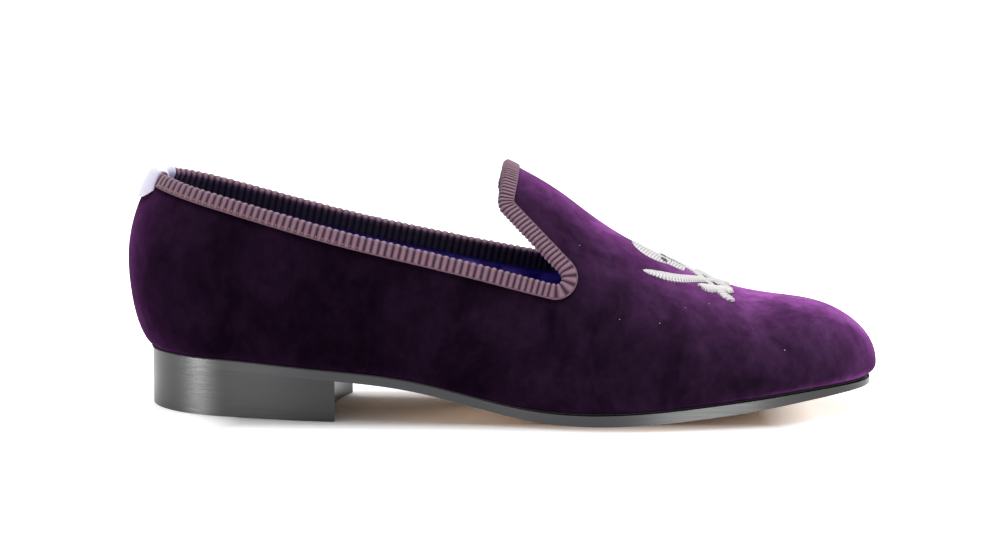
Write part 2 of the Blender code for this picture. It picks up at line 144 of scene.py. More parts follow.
# Sections along the shoe. at is a share of the length. swing moves the middle line to the inner side.
# It and the half widths, out to the outer side and in to the inner side, are shares of the ball
# width. belly_up and ridge_over are shares of the instep height, and the rest are shares of the heel
# height, toe spring, crown, edge and lip.
SECTION_COLUMNS = ("at", "swing", "seat_out", "seat_in", "belly_out", "belly_in", "belly_up",
                   "ridge_over", "lift", "spring", "crown", "edge", "lip")
SECTION_ROWS = (
    (0.000, 0.140, 0.300, 0.300, 0.338, 0.340, 0.355, 0.578, 1.00, 0.000, 0.00, 0.80, 0.05),
    (0.136, 0.080, 0.315, 0.290, 0.350, 0.330, 0.316, 0.622, 0.98, 0.000, 0.00, 0.80, 0.05),
    (0.251, 0.018, 0.340, 0.264, 0.374, 0.318, 0.276, 0.733, 0.87, 0.000, 0.00, 0.80, 0.05),
    (0.380, -0.004, 0.352, 0.218, 0.384, 0.300, 0.252, 0.778, 0.64, 0.000, 0.20, 0.80, 0.15),
    (0.481, 0.000, 0.396, 0.200, 0.426, 0.294, 0.248, 0.760, 0.25, 0.000, 0.60, 0.82, 0.40),
    (0.532, 0.000, 0.437, 0.223, 0.467, 0.312, 0.247, 0.710, 0.08, 0.000, 0.85, 0.88, 0.65),
    (0.579, 0.000, 0.474, 0.268, 0.504, 0.345, 0.236, 0.640, 0.00, 0.000, 1.00, 0.94, 0.85),
    (0.661, 0.000, 0.510, 0.345, 0.541, 0.401, 0.192, 0.486, 0.00, 0.030, 1.00, 1.00, 1.00),
    (0.738, 0.000, 0.487, 0.381, 0.520, 0.421, 0.146, 0.385, 0.00, 0.200, 1.00, 1.00, 1.00),
    (0.820, 0.000, 0.428, 0.365, 0.462, 0.402, 0.100, 0.302, 0.00, 0.440, 1.00, 0.96, 1.00),
    (0.877, 0.000, 0.382, 0.335, 0.420, 0.376, 0.080, 0.290, 0.00, 0.670, 0.85, 0.85, 1.00),
    (0.938, 0.000, 0.342, 0.308, 0.384, 0.350, 0.066, 0.306, 0.00, 0.870, 0.70, 0.68, 1.00),
    (1.000, 0.000, 0.304, 0.278, 0.348, 0.320, 0.058, 0.306, 0.00, 1.000, 0.40, 0.50, 1.00),
)

# Edge of the opening seen from the side, as corners: at, up, inner rise and rounding radius. up is a
# share of the instep height above the seat line, and inner rise is how much higher the inner side runs.
OPENING_ROWS = (
    (-0.060, 0.852, 0.000, 0.000),
    (0.305, 0.588, -0.003, 0.900),
    (0.609, 0.503, 0.024, 0.0036),
    (0.499, 0.832, 0.004, 0.0052),
    (0.548, 1.550, 0.000, 0.000),
)

# Distance from the back seam along one side, and the pitch of the ribbon's ribs there
RIB_ROWS = (
    (0.000, 0.0027),
    (0.155, 0.0027),
    (0.180, 0.0021),
    (0.215, 0.0018),
    (0.240, 0.0017),
)

# Embroidered figure: its place on the vamp, its threads, and the dark cords beside its strokes.
# A stroke has its full height from a half width on.
MILLIMETRE = 0.001
FIGURE_START = 0.052
FIGURE_OUT = 0.005
FIGURE_TURN = 0.14
THREAD_RIDGE = 0.00030
THREAD_SINK = 0.00004
STROKE_SPACING = 0.00014
SERRATION_PITCH = 0.0015
FULL_HEIGHT_FROM = 0.0012
CORD_RADIUS = 0.00016
CORD_SPACING = 0.0005

# Strokes of the figure in millimetres: x forward of the shoe's middle, the way over the vamp from
# the figure's own middle to the outer side, and the half width.
SKULL = ((50.8, 0, 0.5), (51.3, 0, 3.2), (52.2, 0, 5.2), (53.6, 0, 7.0), (55.6, 0, 8.2),
         (58.0, 0, 8.3), (60.5, 0, 7.6), (62.6, 0, 6.4), (64.2, 0, 5.0), (65.5, 0, 4.4),
         (67.5, 0, 4.2), (69.5, 0, 3.8), (71.2, 0, 2.8))
BLADE = ((54.0, 24.0, 0.3), (55.5, 23.4, 1.2), (58.5, 21.6, 1.9), (62.0, 19.6, 2.4),
         (65.5, 17.1, 2.6), (69.0, 14.0, 2.4), (72.0, 10.4, 2.2), (76.0, 4.9, 2.1), (79.0, 0.2, 1.9),
         (81.5, -3.3, 1.6), (83.3, -6.0, 1.4))
GUARD = ((76.5, -13.4, 0.7), (77.2, -12.7, 2.1), (79.3, -10.6, 2.8), (82.9, -6.6, 1.9),
         (86.5, -2.8, 2.8), (88.7, -0.6, 2.3), (89.4, 0.1, 0.7))
GRIP = ((83.8, -6.9, 1.8), (85.2, -8.4, 2.4), (87.2, -10.4, 2.8), (88.7, -11.9, 2.1), (89.4, -12.6, 0.6))
EYE = ((61.3, 3.2, 0.3), (61.9, 3.2, 1.3), (62.9, 3.3, 1.9), (63.8, 3.2, 1.3), (64.3, 3.1, 0.3))
NOSE = ((64.8, 0, 0.2), (65.4, 0, 0.7), (66.1, 0, 1.1), (66.4, 0, 0.3))
TOOTH = ((68.2, 1.5, 0.14), (70.4, 1.4, 0.14))

# Specks of fluff: x forward of the shoe's middle and way out in millimetres, and a share of full size
LINT_SPOTS = ((79.5, 23.0, 0.20), (108.0, 30.0, 0.22), (60.0, 47.0, 0.18), (45.0, 55.0, 0.15),
              (30.0, 34.0, 0.15), (96.0, 26.0, 0.14), (70.0, 33.0, 0.14), (20.0, 62.0, 0.14))

# Lights: name, place, target, size, power, and the pieces that it falls on where those are not all
LIGHTS = (
    ("top_light", (0.15, 0.25, 1.4), (0.0, 0.0, 0.0), (1.6, 1.0), 27.0, ()),
    ("toe_light", (1.1, -0.35, 0.55), (0.05, 0.0, 0.03), (0.5, 0.8), 1.6, ()),
    ("pile_light", (0.05, -0.25, 1.3), (0.06, 0.0, 0.0), (0.9, 0.5), 30.0, ("velvet_upper",)),
    ("heel_light", (-1.28, -0.70, 0.11), (-0.12, 0.0, 0.01), (0.26, 0.22), 52.0,
     ("heel_block", "outsole_leather")),
    ("edge_light", (0.68, -1.20, 0.09), (0.09, -0.04, 0.01), (0.45, 0.17), 42.0,
     ("outsole_leather",)),
)

# Floor. It glows beyond half a length and half a width around the shoe.
FLOOR_REACH = 4.0
FLOOR_DROP = 0.0002
FLOOR_GLOW = 0.65
DIM_FLOOR_HALVES = (0.112, 0.043)

WHITE = (1.0, 1.0, 1.0)
BLACK = (0.0, 0.0, 0.0)


def natural_spline(knots, values, places):
    """Values of the natural cubic spline through the knots."""
    knots = np.array(knots, float)
    values = np.array(values, float)
    count = len(knots)
    step = np.diff(knots)
    slope = np.diff(values) / step
    system = np.eye(count)
    right_side = np.zeros(count)
    for i in range(1, count - 1):
        system[i, i - 1] = step[i - 1]
        system[i, i] = 2.0 * (step[i - 1] + step[i])
        system[i, i + 1] = step[i]
        right_side[i] = 6.0 * (slope[i] - slope[i - 1])
    bend = np.linalg.solve(system, right_side)
    i = np.clip(np.searchsorted(knots, places) - 1, 0, count - 2)
    before = places - knots[i]
    after = knots[i + 1] - places
    cubic = (bend[i] * after ** 3 + bend[i + 1] * before ** 3) / (6.0 * step[i])
    low = (values[i] / step[i] - bend[i] * step[i] / 6.0) * after
    high = (values[i + 1] / step[i] - bend[i + 1] * step[i] / 6.0) * before
    return cubic + low + high


PLACES = np.linspace(0.0, 1.0, 2001)


def section_samples():
    """Finely sampled spline for each named column of the section table."""
    knots = [row[0] for row in SECTION_ROWS]
    samples = {}
    for index, name in enumerate(SECTION_COLUMNS[1:], start=1):
        samples[name] = natural_spline(knots, [row[index] for row in SECTION_ROWS], PLACES)
    return samples


SECTION = section_samples()


def share(name, x):
    """Value of a section column at distances x from the heel back."""
    return np.interp(np.asarray(x, float) / SHOE_LENGTH, PLACES, SECTION[name])


def end_rounding(x, back, front):
    """Share of the full width or height left at x, rounding off towards the back and front tips."""
    x = np.asarray(x, float)
    heel_centre = HEEL_CENTRE_AT * SHOE_LENGTH
    toe_centre = TOE_CENTRE_AT * SHOE_LENGTH
    behind = (heel_centre - x) / (heel_centre - back)
    ahead = (x - toe_centre) / (front - toe_centre)
    reach = np.clip(np.maximum(behind, ahead), 0.0, 1.0)
    return (1.0 - reach ** SECTION_POWER) ** (1.0 / SECTION_POWER)


def stations(back, front, heel_count, middle_count, toe_count):
    """Places along X from tip to tip, closer together at both rounded ends."""
    heel_centre = HEEL_CENTRE_AT * SHOE_LENGTH
    toe_centre = TOE_CENTRE_AT * SHOE_LENGTH
    heel_turn = np.pi / 2.0 * (1.0 - np.arange(heel_count) / heel_count)
    toe_turn = np.pi / 2.0 * np.arange(toe_count + 1) / toe_count
    heel = heel_centre - (heel_centre - back) * np.sin(heel_turn)
    middle = heel_centre + (toe_centre - heel_centre) * np.arange(middle_count) / middle_count
    toe = toe_centre + (front - toe_centre) * np.sin(toe_turn)
    return np.concatenate([heel, middle, toe])


def under_sole(x, across):
    """Height of the sole's underside at x, with across from 0 in the middle to 1 at the edge."""
    height = share("lift", x) * HEEL_HEIGHT + share("spring", x) * TOE_SPRING
    return height + share("crown", x) * (SOLE_CROWN * np.asarray(across) ** 2 - WORN_FLAT)


def sole_top(x, across):
    """Height of the sole's upper face."""
    return under_sole(x, across) + share("edge", x) * SOLE_EDGE


def seat_height(x):
    """Height of the line where the upper meets the sole."""
    return sole_top(x, 1.0) + CLEARANCE


def belly_height(x):
    """Height of the upper's widest line."""
    return seat_height(x) + share("belly_up", x) * INSTEP_HEIGHT


def ridge_rise(x):
    """Height of the ridge over the widest line, before the ends round off."""
    return share("ridge_over", x) * INSTEP_HEIGHT


def half_width(kind, side, x):
    """Half width of the seat or belly outline on the outer (-1) or inner (1) side."""
    return np.where(np.asarray(side) < 0, share(kind + "_out", x), share(kind + "_in", x)) * BALL_WIDTH


def middle_line(x):
    """Y of the shoe's middle line at x."""
    return share("swing", x) * BALL_WIDTH


def skin_value(points):
    """Zero on the upper's outer face above its widest line, and larger outside."""
    x, y, z = points[:, 0], points[:, 1], points[:, 2]
    offset = y - middle_line(x)
    across = np.abs(offset) / half_width("belly", np.where(offset > 0.0, 1, -1), x)
    rise = np.maximum(0.0, z - belly_height(x)) / ridge_rise(x)
    ends = end_rounding(x, 0.0, SHOE_LENGTH) ** SECTION_POWER
    return across ** SECTION_POWER + rise ** SECTION_POWER - ends


def skin_gradient(points):
    """Gradient of skin_value by central differences."""
    step = 1e-5
    result = np.empty_like(points)
    for axis in range(3):
        ahead = points.copy()
        behind = points.copy()
        ahead[:, axis] += step
        behind[:, axis] -= step
        result[:, axis] = (skin_value(ahead) - skin_value(behind)) / (2.0 * step)
    return result


def unit(vectors):
    """Vectors scaled to length one."""
    return vectors / np.maximum(np.linalg.norm(vectors, axis=-1, keepdims=True), 1e-12)


def on_skin(points, rounds=5):
    """Move points onto the outer face and return them with the face's normals there."""
    places = np.array(points, float)
    for _ in range(rounds):
        gradient = skin_gradient(places)
        squared = np.maximum((gradient ** 2).sum(axis=1), 1e-9)
        places = places - gradient * (skin_value(places) / squared)[:, None]
    return places, unit(skin_gradient(places))


def skin_side(x, z):
    """Half width of the outer face at x and height z, as a share of the belly's half width."""
    rise = np.maximum(0.0, z - belly_height(x)) / ridge_rise(x)
    ends = end_rounding(x, 0.0, SHOE_LENGTH) ** SECTION_POWER
    return np.maximum(0.0, ends - rise ** SECTION_POWER) ** (1.0 / SECTION_POWER)


def fillet(before, corner, after, radius, count):
    """Points of a round of the given radius in the corner of a flat path."""
    back = unit(before - corner)
    ahead = unit(after - corner)
    half_angle = math.acos(float(back @ ahead)) / 2.0
    centre = corner + unit(back + ahead) * (radius / math.sin(half_angle))
    start = corner + back * (radius / math.tan(half_angle)) - centre
    finish = corner + ahead * (radius / math.tan(half_angle)) - centre
    sweep = math.pi - 2.0 * half_angle
    angle = sweep * np.arange(count + 1)[:, None] / count
    return centre + (start * np.sin(sweep - angle) + finish * np.sin(angle)) / math.sin(sweep)


def opening_outline(side):
    """Side view of the opening's edge on one side, as rows of x and z."""
    corners = []
    for at, up, inner_rise, _ in OPENING_ROWS:
        x = at * SHOE_LENGTH
        rise = up + (inner_rise if side > 0 else 0.0)
        corners.append(np.array([x, float(seat_height(x)) + rise * INSTEP_HEIGHT]))
    rows = [corners[0][None, :]]
    for i in range(1, len(corners) - 1):
        rows.append(fillet(corners[i - 1], corners[i], corners[i + 1], OPENING_ROWS[i][3], 48))
    rows.append(corners[-1][None, :])
    return np.concatenate(rows)


def arc_lengths(path):
    """Distance of each point of a path from its start."""
    return np.concatenate([[0.0], np.cumsum(np.linalg.norm(np.diff(path, axis=0), axis=1))])


def resample(path, spacing):
    """Evenly spaced points along an open path."""
    reach = arc_lengths(path)
    targets = np.linspace(0.0, reach[-1], max(2, round(reach[-1] / spacing)) + 1)
    return np.stack([np.interp(targets, reach, path[:, k]) for k in range(path.shape[1])], axis=1)


def edge_half(side):
    """Edge of the opening on the skin, from the back seam to the tongue's middle."""
    fine = resample(opening_outline(side), 0.00005)
    width = skin_side(fine[:, 0], fine[:, 1])
    fine = fine[width > 0.0]
    width = width[width > 0.0]
    y = middle_line(fine[:, 0]) + side * width * half_width("belly", side, fine[:, 0])
    path = np.stack([fine[:, 0], y, fine[:, 1]], axis=1)
    path[0, 1] = middle_line(path[0, 0])
    path[-1, 1] = middle_line(path[-1, 0])
    return resample(path, 0.0002)


def smooth_loop(points, reach):
    """Closed loop of points averaged over a few neighbours on each side."""
    window = np.hanning(2 * reach + 3)[1:-1]
    window = window / window.sum()
    padded = np.concatenate([points[-reach:], points, points[:reach]])
    return np.stack([np.convolve(padded[:, k], window, "valid") for k in range(3)], axis=1)


def make_edge():
    """Closed loop of the opening's edge, and the loop place of the tongue's middle."""
    outer = edge_half(-1)
    inner = edge_half(1)
    loop = np.concatenate([outer[:-1], inner[::-1][:-1]])
    return smooth_loop(loop, 9), len(outer) - 1


EDGE, TONGUE_PLACE = make_edge()


def edge_reach():
    """Distances along the edge loop from the back seam, the whole length and the tongue's distance."""
    closed = np.concatenate([EDGE, EDGE[:1]])
    reach = arc_lengths(closed)
    return reach, reach[-1], reach[TONGUE_PLACE]


REACH, LOOP_LENGTH, TONGUE_REACH = edge_reach()


def edge_at(distances):
    """Points, skin normals and ways into the velvet at distances along the edge loop."""
    closed = np.concatenate([EDGE, EDGE[:1]])

    def point_at(where):
        where = np.mod(where, LOOP_LENGTH)
        return np.stack([np.interp(where, REACH, closed[:, k]) for k in range(3)], axis=1)

    points, normals = on_skin(point_at(distances))
    along = unit(point_at(distances + 0.0006) - point_at(distances - 0.0006))
    inward = unit(np.cross(along, normals))
    return points, normals, inward


def box_middle_across():
    """Y of the middle of the shoe's box, from its widest places."""
    places = np.linspace(0.0, SHOE_LENGTH, 601)
    reach = {}
    for side in (-1, 1):
        half = half_width("belly", side, places) * end_rounding(places, 0.0, SHOE_LENGTH)
        reach[side] = float((half + side * middle_line(places)).max())
    return (reach[1] - reach[-1]) / 2.0


ROW_SHIFT = np.array([-SHOE_LENGTH / 2.0, -box_middle_across(), 0.0])


def new_object(name, points, faces, finish, maps=None):
    """Mesh object in the row frame that rides on the shoe, with smooth faces and an optional UV map."""
    mesh = bpy.data.meshes.new(name)
    corners = (np.asarray(points) + ROW_SHIFT).tolist()
    mesh.from_pydata(corners, [], [tuple(int(k) for k in face) for face in faces])
    if maps is not None:
        layer = mesh.uv_layers.new(name="UVMap")
        places = np.array([loop.vertex_index for loop in mesh.loops])
        layer.data.foreach_set("uv", np.asarray(maps, np.float32)[places].ravel())
    mesh.validate()
    mesh.shade_smooth()
    mesh.materials.append(finish)
    piece = bpy.data.objects.new(name, mesh)
    bpy.context.scene.collection.objects.link(piece)
    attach(piece, "root")
    return piece


def grid_faces(rows, columns, close_rows=False, close_columns=False):
    """Quads over a grid of rows by columns."""
    i = np.arange(rows if close_rows else rows - 1)
    j = np.arange(columns if close_columns else columns - 1)
    a, b = np.meshgrid(i, j, indexing="ij")
    row = a * columns
    next_row = (a + 1) % rows * columns
    next_b = (b + 1) % columns
    quads = np.stack([row + b, next_row + b, next_row + next_b, row + next_b])
    return quads.reshape(4, -1).T


def change_mesh(piece, change):
    """Run a change on the piece's mesh, opened for editing."""
    work = bmesh.new()
    work.from_mesh(piece.data)
    change(work)
    work.to_mesh(piece.data)
    work.free()


def merge_folded(piece, distance=1e-6):
    """Join the points that fall together at rounded tips, and drop points that no face uses."""
    def merge(work):
        bmesh.ops.remove_doubles(work, verts=work.verts, dist=distance)
        bmesh.ops.dissolve_degenerate(work, dist=distance, edges=work.edges)
        unused = [point for point in work.verts if not point.link_faces]
        bmesh.ops.delete(work, geom=unused, context="VERTS")

    change_mesh(piece, merge)


def turn_outward(piece):
    """Turn the faces of a closed piece outward."""
    change_mesh(piece, lambda work: bmesh.ops.recalc_face_normals(work, faces=work.faces))


def skin_grid(heel_count, middle_count, toe_count, tuck_rows, dome_rows):
    """Points over the upper's outer face: lines from the outer seat over the ridge to the inner seat."""
    belly_x = stations(0.0, SHOE_LENGTH, heel_count, middle_count, toe_count)
    seat_x = stations(HEEL_OVERHANG, SEAT_FRONT, heel_count, middle_count, toe_count)
    belly_ends = end_rounding(belly_x, 0.0, SHOE_LENGTH)
    seat_ends = end_rounding(seat_x, HEEL_OVERHANG, SEAT_FRONT)
    columns = []
    flanks = {}
    for side in (-1, 1):
        seat_y = middle_line(seat_x) + side * half_width("seat", side, seat_x) * seat_ends
        seat = np.stack([seat_x, seat_y, seat_height(seat_x)], axis=1)
        belly_y = middle_line(belly_x) + side * half_width("belly", side, belly_x) * belly_ends
        belly = np.stack([belly_x, belly_y, belly_height(belly_x)], axis=1)
        flank = [seat]
        for i in range(tuck_rows):
            angle = math.pi / 2.0 * i / tuck_rows
            point = seat + (belly - seat) * math.sin(angle) ** TUCK_POWER
            low = seat[:, 2] + SEAT_STRIP
            point[:, 2] = low + (belly[:, 2] - low) * (1.0 - math.cos(angle))
            flank.append(point)
        flanks[side] = flank
    for i in range(dome_rows + 1):
        angle = math.pi * i / dome_rows
        side = -1 if i * 2 < dome_rows else 1
        across = abs(math.cos(angle)) ** (2.0 / SECTION_POWER) * belly_ends
        rise = math.sin(angle) ** (2.0 / SECTION_POWER) * belly_ends
        y = middle_line(belly_x) + side * across * half_width("belly", side, belly_x)
        z = belly_height(belly_x) + ridge_rise(belly_x) * rise
        columns.append(np.stack([belly_x, y, z], axis=1))
    columns = flanks[-1] + columns + flanks[1][::-1]
    return np.stack(columns, axis=1)


def grid_normals(grid):
    """Outward normals over a grid of points."""
    along = np.gradient(grid, axis=0)
    around = np.gradient(grid, axis=1)
    normals = np.cross(along, around)
    normals[0] = normals[1]
    normals[-1] = normals[-2]
    normals = unit(normals)
    top = normals[len(grid) // 2, grid.shape[1] // 2]
    return -normals if top[2] < 0.0 else normals


def inside_outline(x, z, outline):
    """Whether side view points lie above the opening's edge."""
    closing = np.array([[outline[-1, 0], 1.0], [outline[0, 0], 1.0]])
    ring = np.concatenate([outline, closing])
    inside = np.zeros(len(x), bool)
    for (x0, z0), (x1, z1) in zip(ring, np.roll(ring, -1, axis=0)):
        crosses = (z0 > z) != (z1 > z)
        if crosses.any():
            reach = x0 + (z - z0) * (x1 - x0) / (z1 - z0 if z1 != z0 else 1e-12)
            inside ^= crosses & (x < reach)
    return inside


def edge_distance(points):
    """Signed distance of points on the skin from the opening's edge, negative inside the opening."""
    tree = KDTree(len(EDGE))
    for i, place in enumerate(EDGE):
        tree.insert(Vector(place), i)
    tree.balance()
    distance = np.array([tree.find(Vector(p))[2] for p in points])
    outer = points[:, 1] <= middle_line(points[:, 0])
    inside = np.where(outer, inside_outline(points[:, 0], points[:, 2], opening_outline(-1)),
                      inside_outline(points[:, 0], points[:, 2], opening_outline(1)))
    return np.where(inside, -distance, distance)


def slow_waves(points, seed, count, low, high):
    """Smooth wavy field between -1 and 1 with wave lengths from low to high."""
    chance = np.random.default_rng(seed)
    total = np.zeros(len(points))
    for _ in range(count):
        way = unit(chance.normal(size=3))
        length = chance.uniform(low, high)
        start = chance.uniform(0.0, 2.0 * math.pi)
        total += np.sin(points @ way * (2.0 * math.pi / length) + start)
    return total / math.sqrt(count)


def above_seat(rows, columns, start, ramp):
    """Share from 0 at the seat to 1 above it for each grid point, by lines of the grid from the seat."""
    lines = np.minimum(np.arange(columns), np.arange(columns)[::-1])
    return np.tile(np.clip((lines - start) / ramp, 0.0, 1.0), rows)


def principled(name, colour, roughness, **settings):
    """New material with its node tree and Principled shader. Settings name the shader's sockets."""
    finish = bpy.data.materials.new(name)
    finish.use_nodes = True
    finish.diffuse_color = (*colour, 1.0)
    shader = finish.node_tree.nodes["Principled BSDF"]
    shader.inputs["Base Color"].default_value = (*colour, 1.0)
    shader.inputs["Roughness"].default_value = roughness
    for socket, value in settings.items():
        shader.inputs[socket.replace("_", " ")].default_value = value
    return finish, finish.node_tree, shader


def feed(tree, node, inputs):
    """Give a node's inputs their values, or the sockets that feed them."""
    for name, value in inputs.items():
        if isinstance(value, bpy.types.NodeSocket):
            tree.links.new(value, node.inputs[name])
        else:
            node.inputs[name].default_value = value


def add_node(tree, kind, inputs=None, **settings):
    """New node with the given settings and inputs."""
    node = tree.nodes.new(kind)
    for name, value in settings.items():
        setattr(node, name, value)
    feed(tree, node, inputs or {})
    return node


def calculate(tree, operation, first, second=0.0):
    """Result of a math operation on one or two values."""
    return add_node(tree, "ShaderNodeMath", {0: first, 1: second}, operation=operation).outputs[0]


def remap(tree, value, low, high, to_low=0.0, to_high=1.0):
    """Value carried from one range to another and held at the ends."""
    node = add_node(tree, "ShaderNodeMapRange", {"Value": value, "From Min": low, "From Max": high,
                                                 "To Min": to_low, "To Max": to_high})
    return node.outputs["Result"]


def coordinates(tree, kind="Object", stretch=(1.0, 1.0, 1.0)):
    """Texture coordinates of a kind, stretched along each axis."""
    if kind == "UV":
        place = tree.nodes.new("ShaderNodeUVMap")
    else:
        place = tree.nodes.new("ShaderNodeTexCoord")
    if stretch == (1.0, 1.0, 1.0):
        return place.outputs[kind]
    mapping = add_node(tree, "ShaderNodeMapping", {"Vector": place.outputs[kind], "Scale": stretch})
    return mapping.outputs["Vector"]


def parts_of(tree, vector):
    """X, Y and Z of a vector."""
    return add_node(tree, "ShaderNodeSeparateXYZ", {"Vector": vector}).outputs


def ramp_colours(tree, factor, stops):
    """Colour by a factor, from stops of place and colour."""
    node = add_node(tree, "ShaderNodeValToRGB", {"Fac": factor})
    ramp = node.color_ramp
    while len(ramp.elements) < len(stops):
        ramp.elements.new(0.5)
    for element, (place, colour) in zip(ramp.elements, stops):
        element.position = place
        element.color = (*colour, 1.0)
    return node.outputs["Color"]


def mix_colours(tree, factor, first, second, blend="MIX"):
    """Mix of two colours. Each argument is a value or a socket."""
    node = add_node(tree, "ShaderNodeMix", data_type="RGBA", blend_type=blend)
    feed(tree, node, {0: factor, 6: first, 7: second})
    return node.outputs[2]


def relief_group():
    """Shared fine relief for weave, grain and scratches: noise as a value and as a bumped normal."""
    group = bpy.data.node_groups.get("fine_relief")
    if group:
        return group
    group = bpy.data.node_groups.new("fine_relief", "ShaderNodeTree")
    group.interface.new_socket("Place", in_out="INPUT", socket_type="NodeSocketVector")
    for name in ("Scale", "Detail", "Distortion", "Strength", "Distance"):
        group.interface.new_socket(name, in_out="INPUT", socket_type="NodeSocketFloat")
    group.interface.new_socket("Value", in_out="OUTPUT", socket_type="NodeSocketFloat")
    group.interface.new_socket("Normal", in_out="OUTPUT", socket_type="NodeSocketVector")
    given = group.nodes.new("NodeGroupInput").outputs
    noise = add_node(group, "ShaderNodeTexNoise", {"Vector": given["Place"], "Scale": given["Scale"],
                                                   "Detail": given["Detail"],
                                                   "Distortion": given["Distortion"]})
    bump = add_node(group, "ShaderNodeBump", {"Strength": given["Strength"],
                                              "Distance": given["Distance"],
                                              "Height": noise.outputs["Fac"]})
    result = group.nodes.new("NodeGroupOutput")
    feed(group, result, {"Value": noise.outputs["Fac"], "Normal": bump.outputs["Normal"]})
    return group


def relief(tree, place, scale, detail, strength, distance, distortion=0.0):
    """Value and Normal of the shared fine relief with a material's own settings."""
    node = add_node(tree, "ShaderNodeGroup", node_tree=relief_group())
    feed(tree, node, {"Place": place, "Scale": scale, "Detail": detail, "Distortion": distortion,
                      "Strength": strength, "Distance": distance})
    return node.outputs


def velvet_material(look):
    """Deep purple pile with painted sheen: dark facing the eye, lighter at grazing angles and ahead."""
    pile = look.velvet_colour[:]
    finish, tree, shader = principled("velvet", pile, 0.9, Sheen_Weight=0.12, Sheen_Roughness=0.45,
                                      Sheen_Tint=(0.42, 0.12, 0.50, 1.0), Specular_IOR_Level=0.0)
    broad = coordinates(tree, stretch=(1.0, 1.0, 0.75))
    patches = add_node(tree, "ShaderNodeTexNoise", {"Vector": broad, "Scale": 50.0, "Detail": 6.0,
                                                    "Roughness": 0.62, "Distortion": 0.5})
    marks = add_node(tree, "ShaderNodeTexNoise", {"Vector": broad, "Scale": 240.0, "Detail": 4.0,
                                                  "Roughness": 0.65})
    patched = remap(tree, patches.outputs["Fac"], 0.38, 0.62, 1.0 - look.nap_contrast, 1.0)
    marked = remap(tree, marks.outputs["Fac"], 0.35, 0.65, 0.80, 1.20)
    place = coordinates(tree)
    # Painted sheen along the shoe: the pile is painted lighter towards the toe
    brushed = remap(tree, parts_of(tree, place)["X"], *TOE_SHEEN_PLACES, *TOE_SHEEN_TONES)
    level = calculate(tree, "MULTIPLY", calculate(tree, "MULTIPLY", patched, brushed), marked)
    # Painted sheen: the pile's colour is painted dark where it faces the eye and lighter at grazing
    # angles
    facing = add_node(tree, "ShaderNodeLayerWeight", {"Blend": 0.5}).outputs["Facing"]
    stops = [(at, [tone * part for tone, part in zip(pile, shares)]) for at, shares in PILE_SHEEN_TONES]
    shaded = mix_colours(tree, 1.0, ramp_colours(tree, facing, stops), level, "MULTIPLY")
    grain = relief(tree, place, 1500.0, 2.0, 0.35, 0.0004)
    feed(tree, shader, {"Base Color": shaded, "Normal": grain["Normal"]})
    return finish


def make_velvet(look):
    """Velvet upper as a fine sheet with a wall, open at the top and underneath."""
    grid = skin_grid(heel_count=40, middle_count=170, toe_count=34, tuck_rows=12, dome_rows=110)
    rows, columns = grid.shape[:2]
    points = grid.reshape(-1, 3)
    away = grid_normals(grid).reshape(-1, 3)
    waves = slow_waves(points, seed=4, count=7, low=0.030, high=0.070)
    distance = edge_distance(points)
    free = np.clip((distance - WAVE_MARGIN) / WAVE_RAMP, 0.0, 1.0) * above_seat(rows, columns, 4, 10.0)
    shaped = points + away * (waves * free * look.wave_height)[:, None]
    faces = grid_faces(rows, columns)
    kept = (distance[faces] > -VELVET_UNDER_RIBBON).all(axis=1)
    upper = new_object("velvet_upper", shaped, faces[kept], velvet_material(look))
    merge_folded(upper)
    wall = upper.modifiers.new("wall", "SOLIDIFY")
    wall.thickness = VELVET_THICKNESS
    wall.offset = -1.0
    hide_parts("upper")


def satin_material(name, colour, painted_facing_shade):
    """Satin cloth with painted sheen: darker facing the eye, lighter at grazing angles, over a faint fine
    weave.
    """
    finish, tree, shader = principled(name, colour, 0.52, Specular_IOR_Level=0.35, Sheen_Weight=0.10)
    weave = relief(tree, coordinates(tree), 900.0, 2.0, 0.15, 0.0002)
    # Painted sheen: the satin is painted in its darker tone where it faces the eye
    facing = add_node(tree, "ShaderNodeLayerWeight", {"Blend": 0.4}).outputs["Facing"]
    tone = mix_colours(tree, facing, (*painted_facing_shade, 1.0), (*colour, 1.0))
    feed(tree, shader, {"Base Color": tone, "Normal": weave["Normal"]})
    return finish


def quilt_relief(along, height, pitch):
    """Puff of the quilting from 0 on the seams to 1, and the small gathers beside the seams."""
    a = (along + height) / pitch
    b = (along - height) / pitch
    ridge = np.abs(np.sin(np.pi * a)) * np.abs(np.sin(np.pi * b))
    near_a = np.exp(-(np.sin(np.pi * a) / 0.35) ** 2)
    near_b = np.exp(-(np.sin(np.pi * b) / 0.35) ** 2)
    gathers = near_a * np.sin(2.0 * np.pi * b * 5.0) + near_b * np.sin(2.0 * np.pi * a * 5.0)
    return ridge ** 0.45, gathers


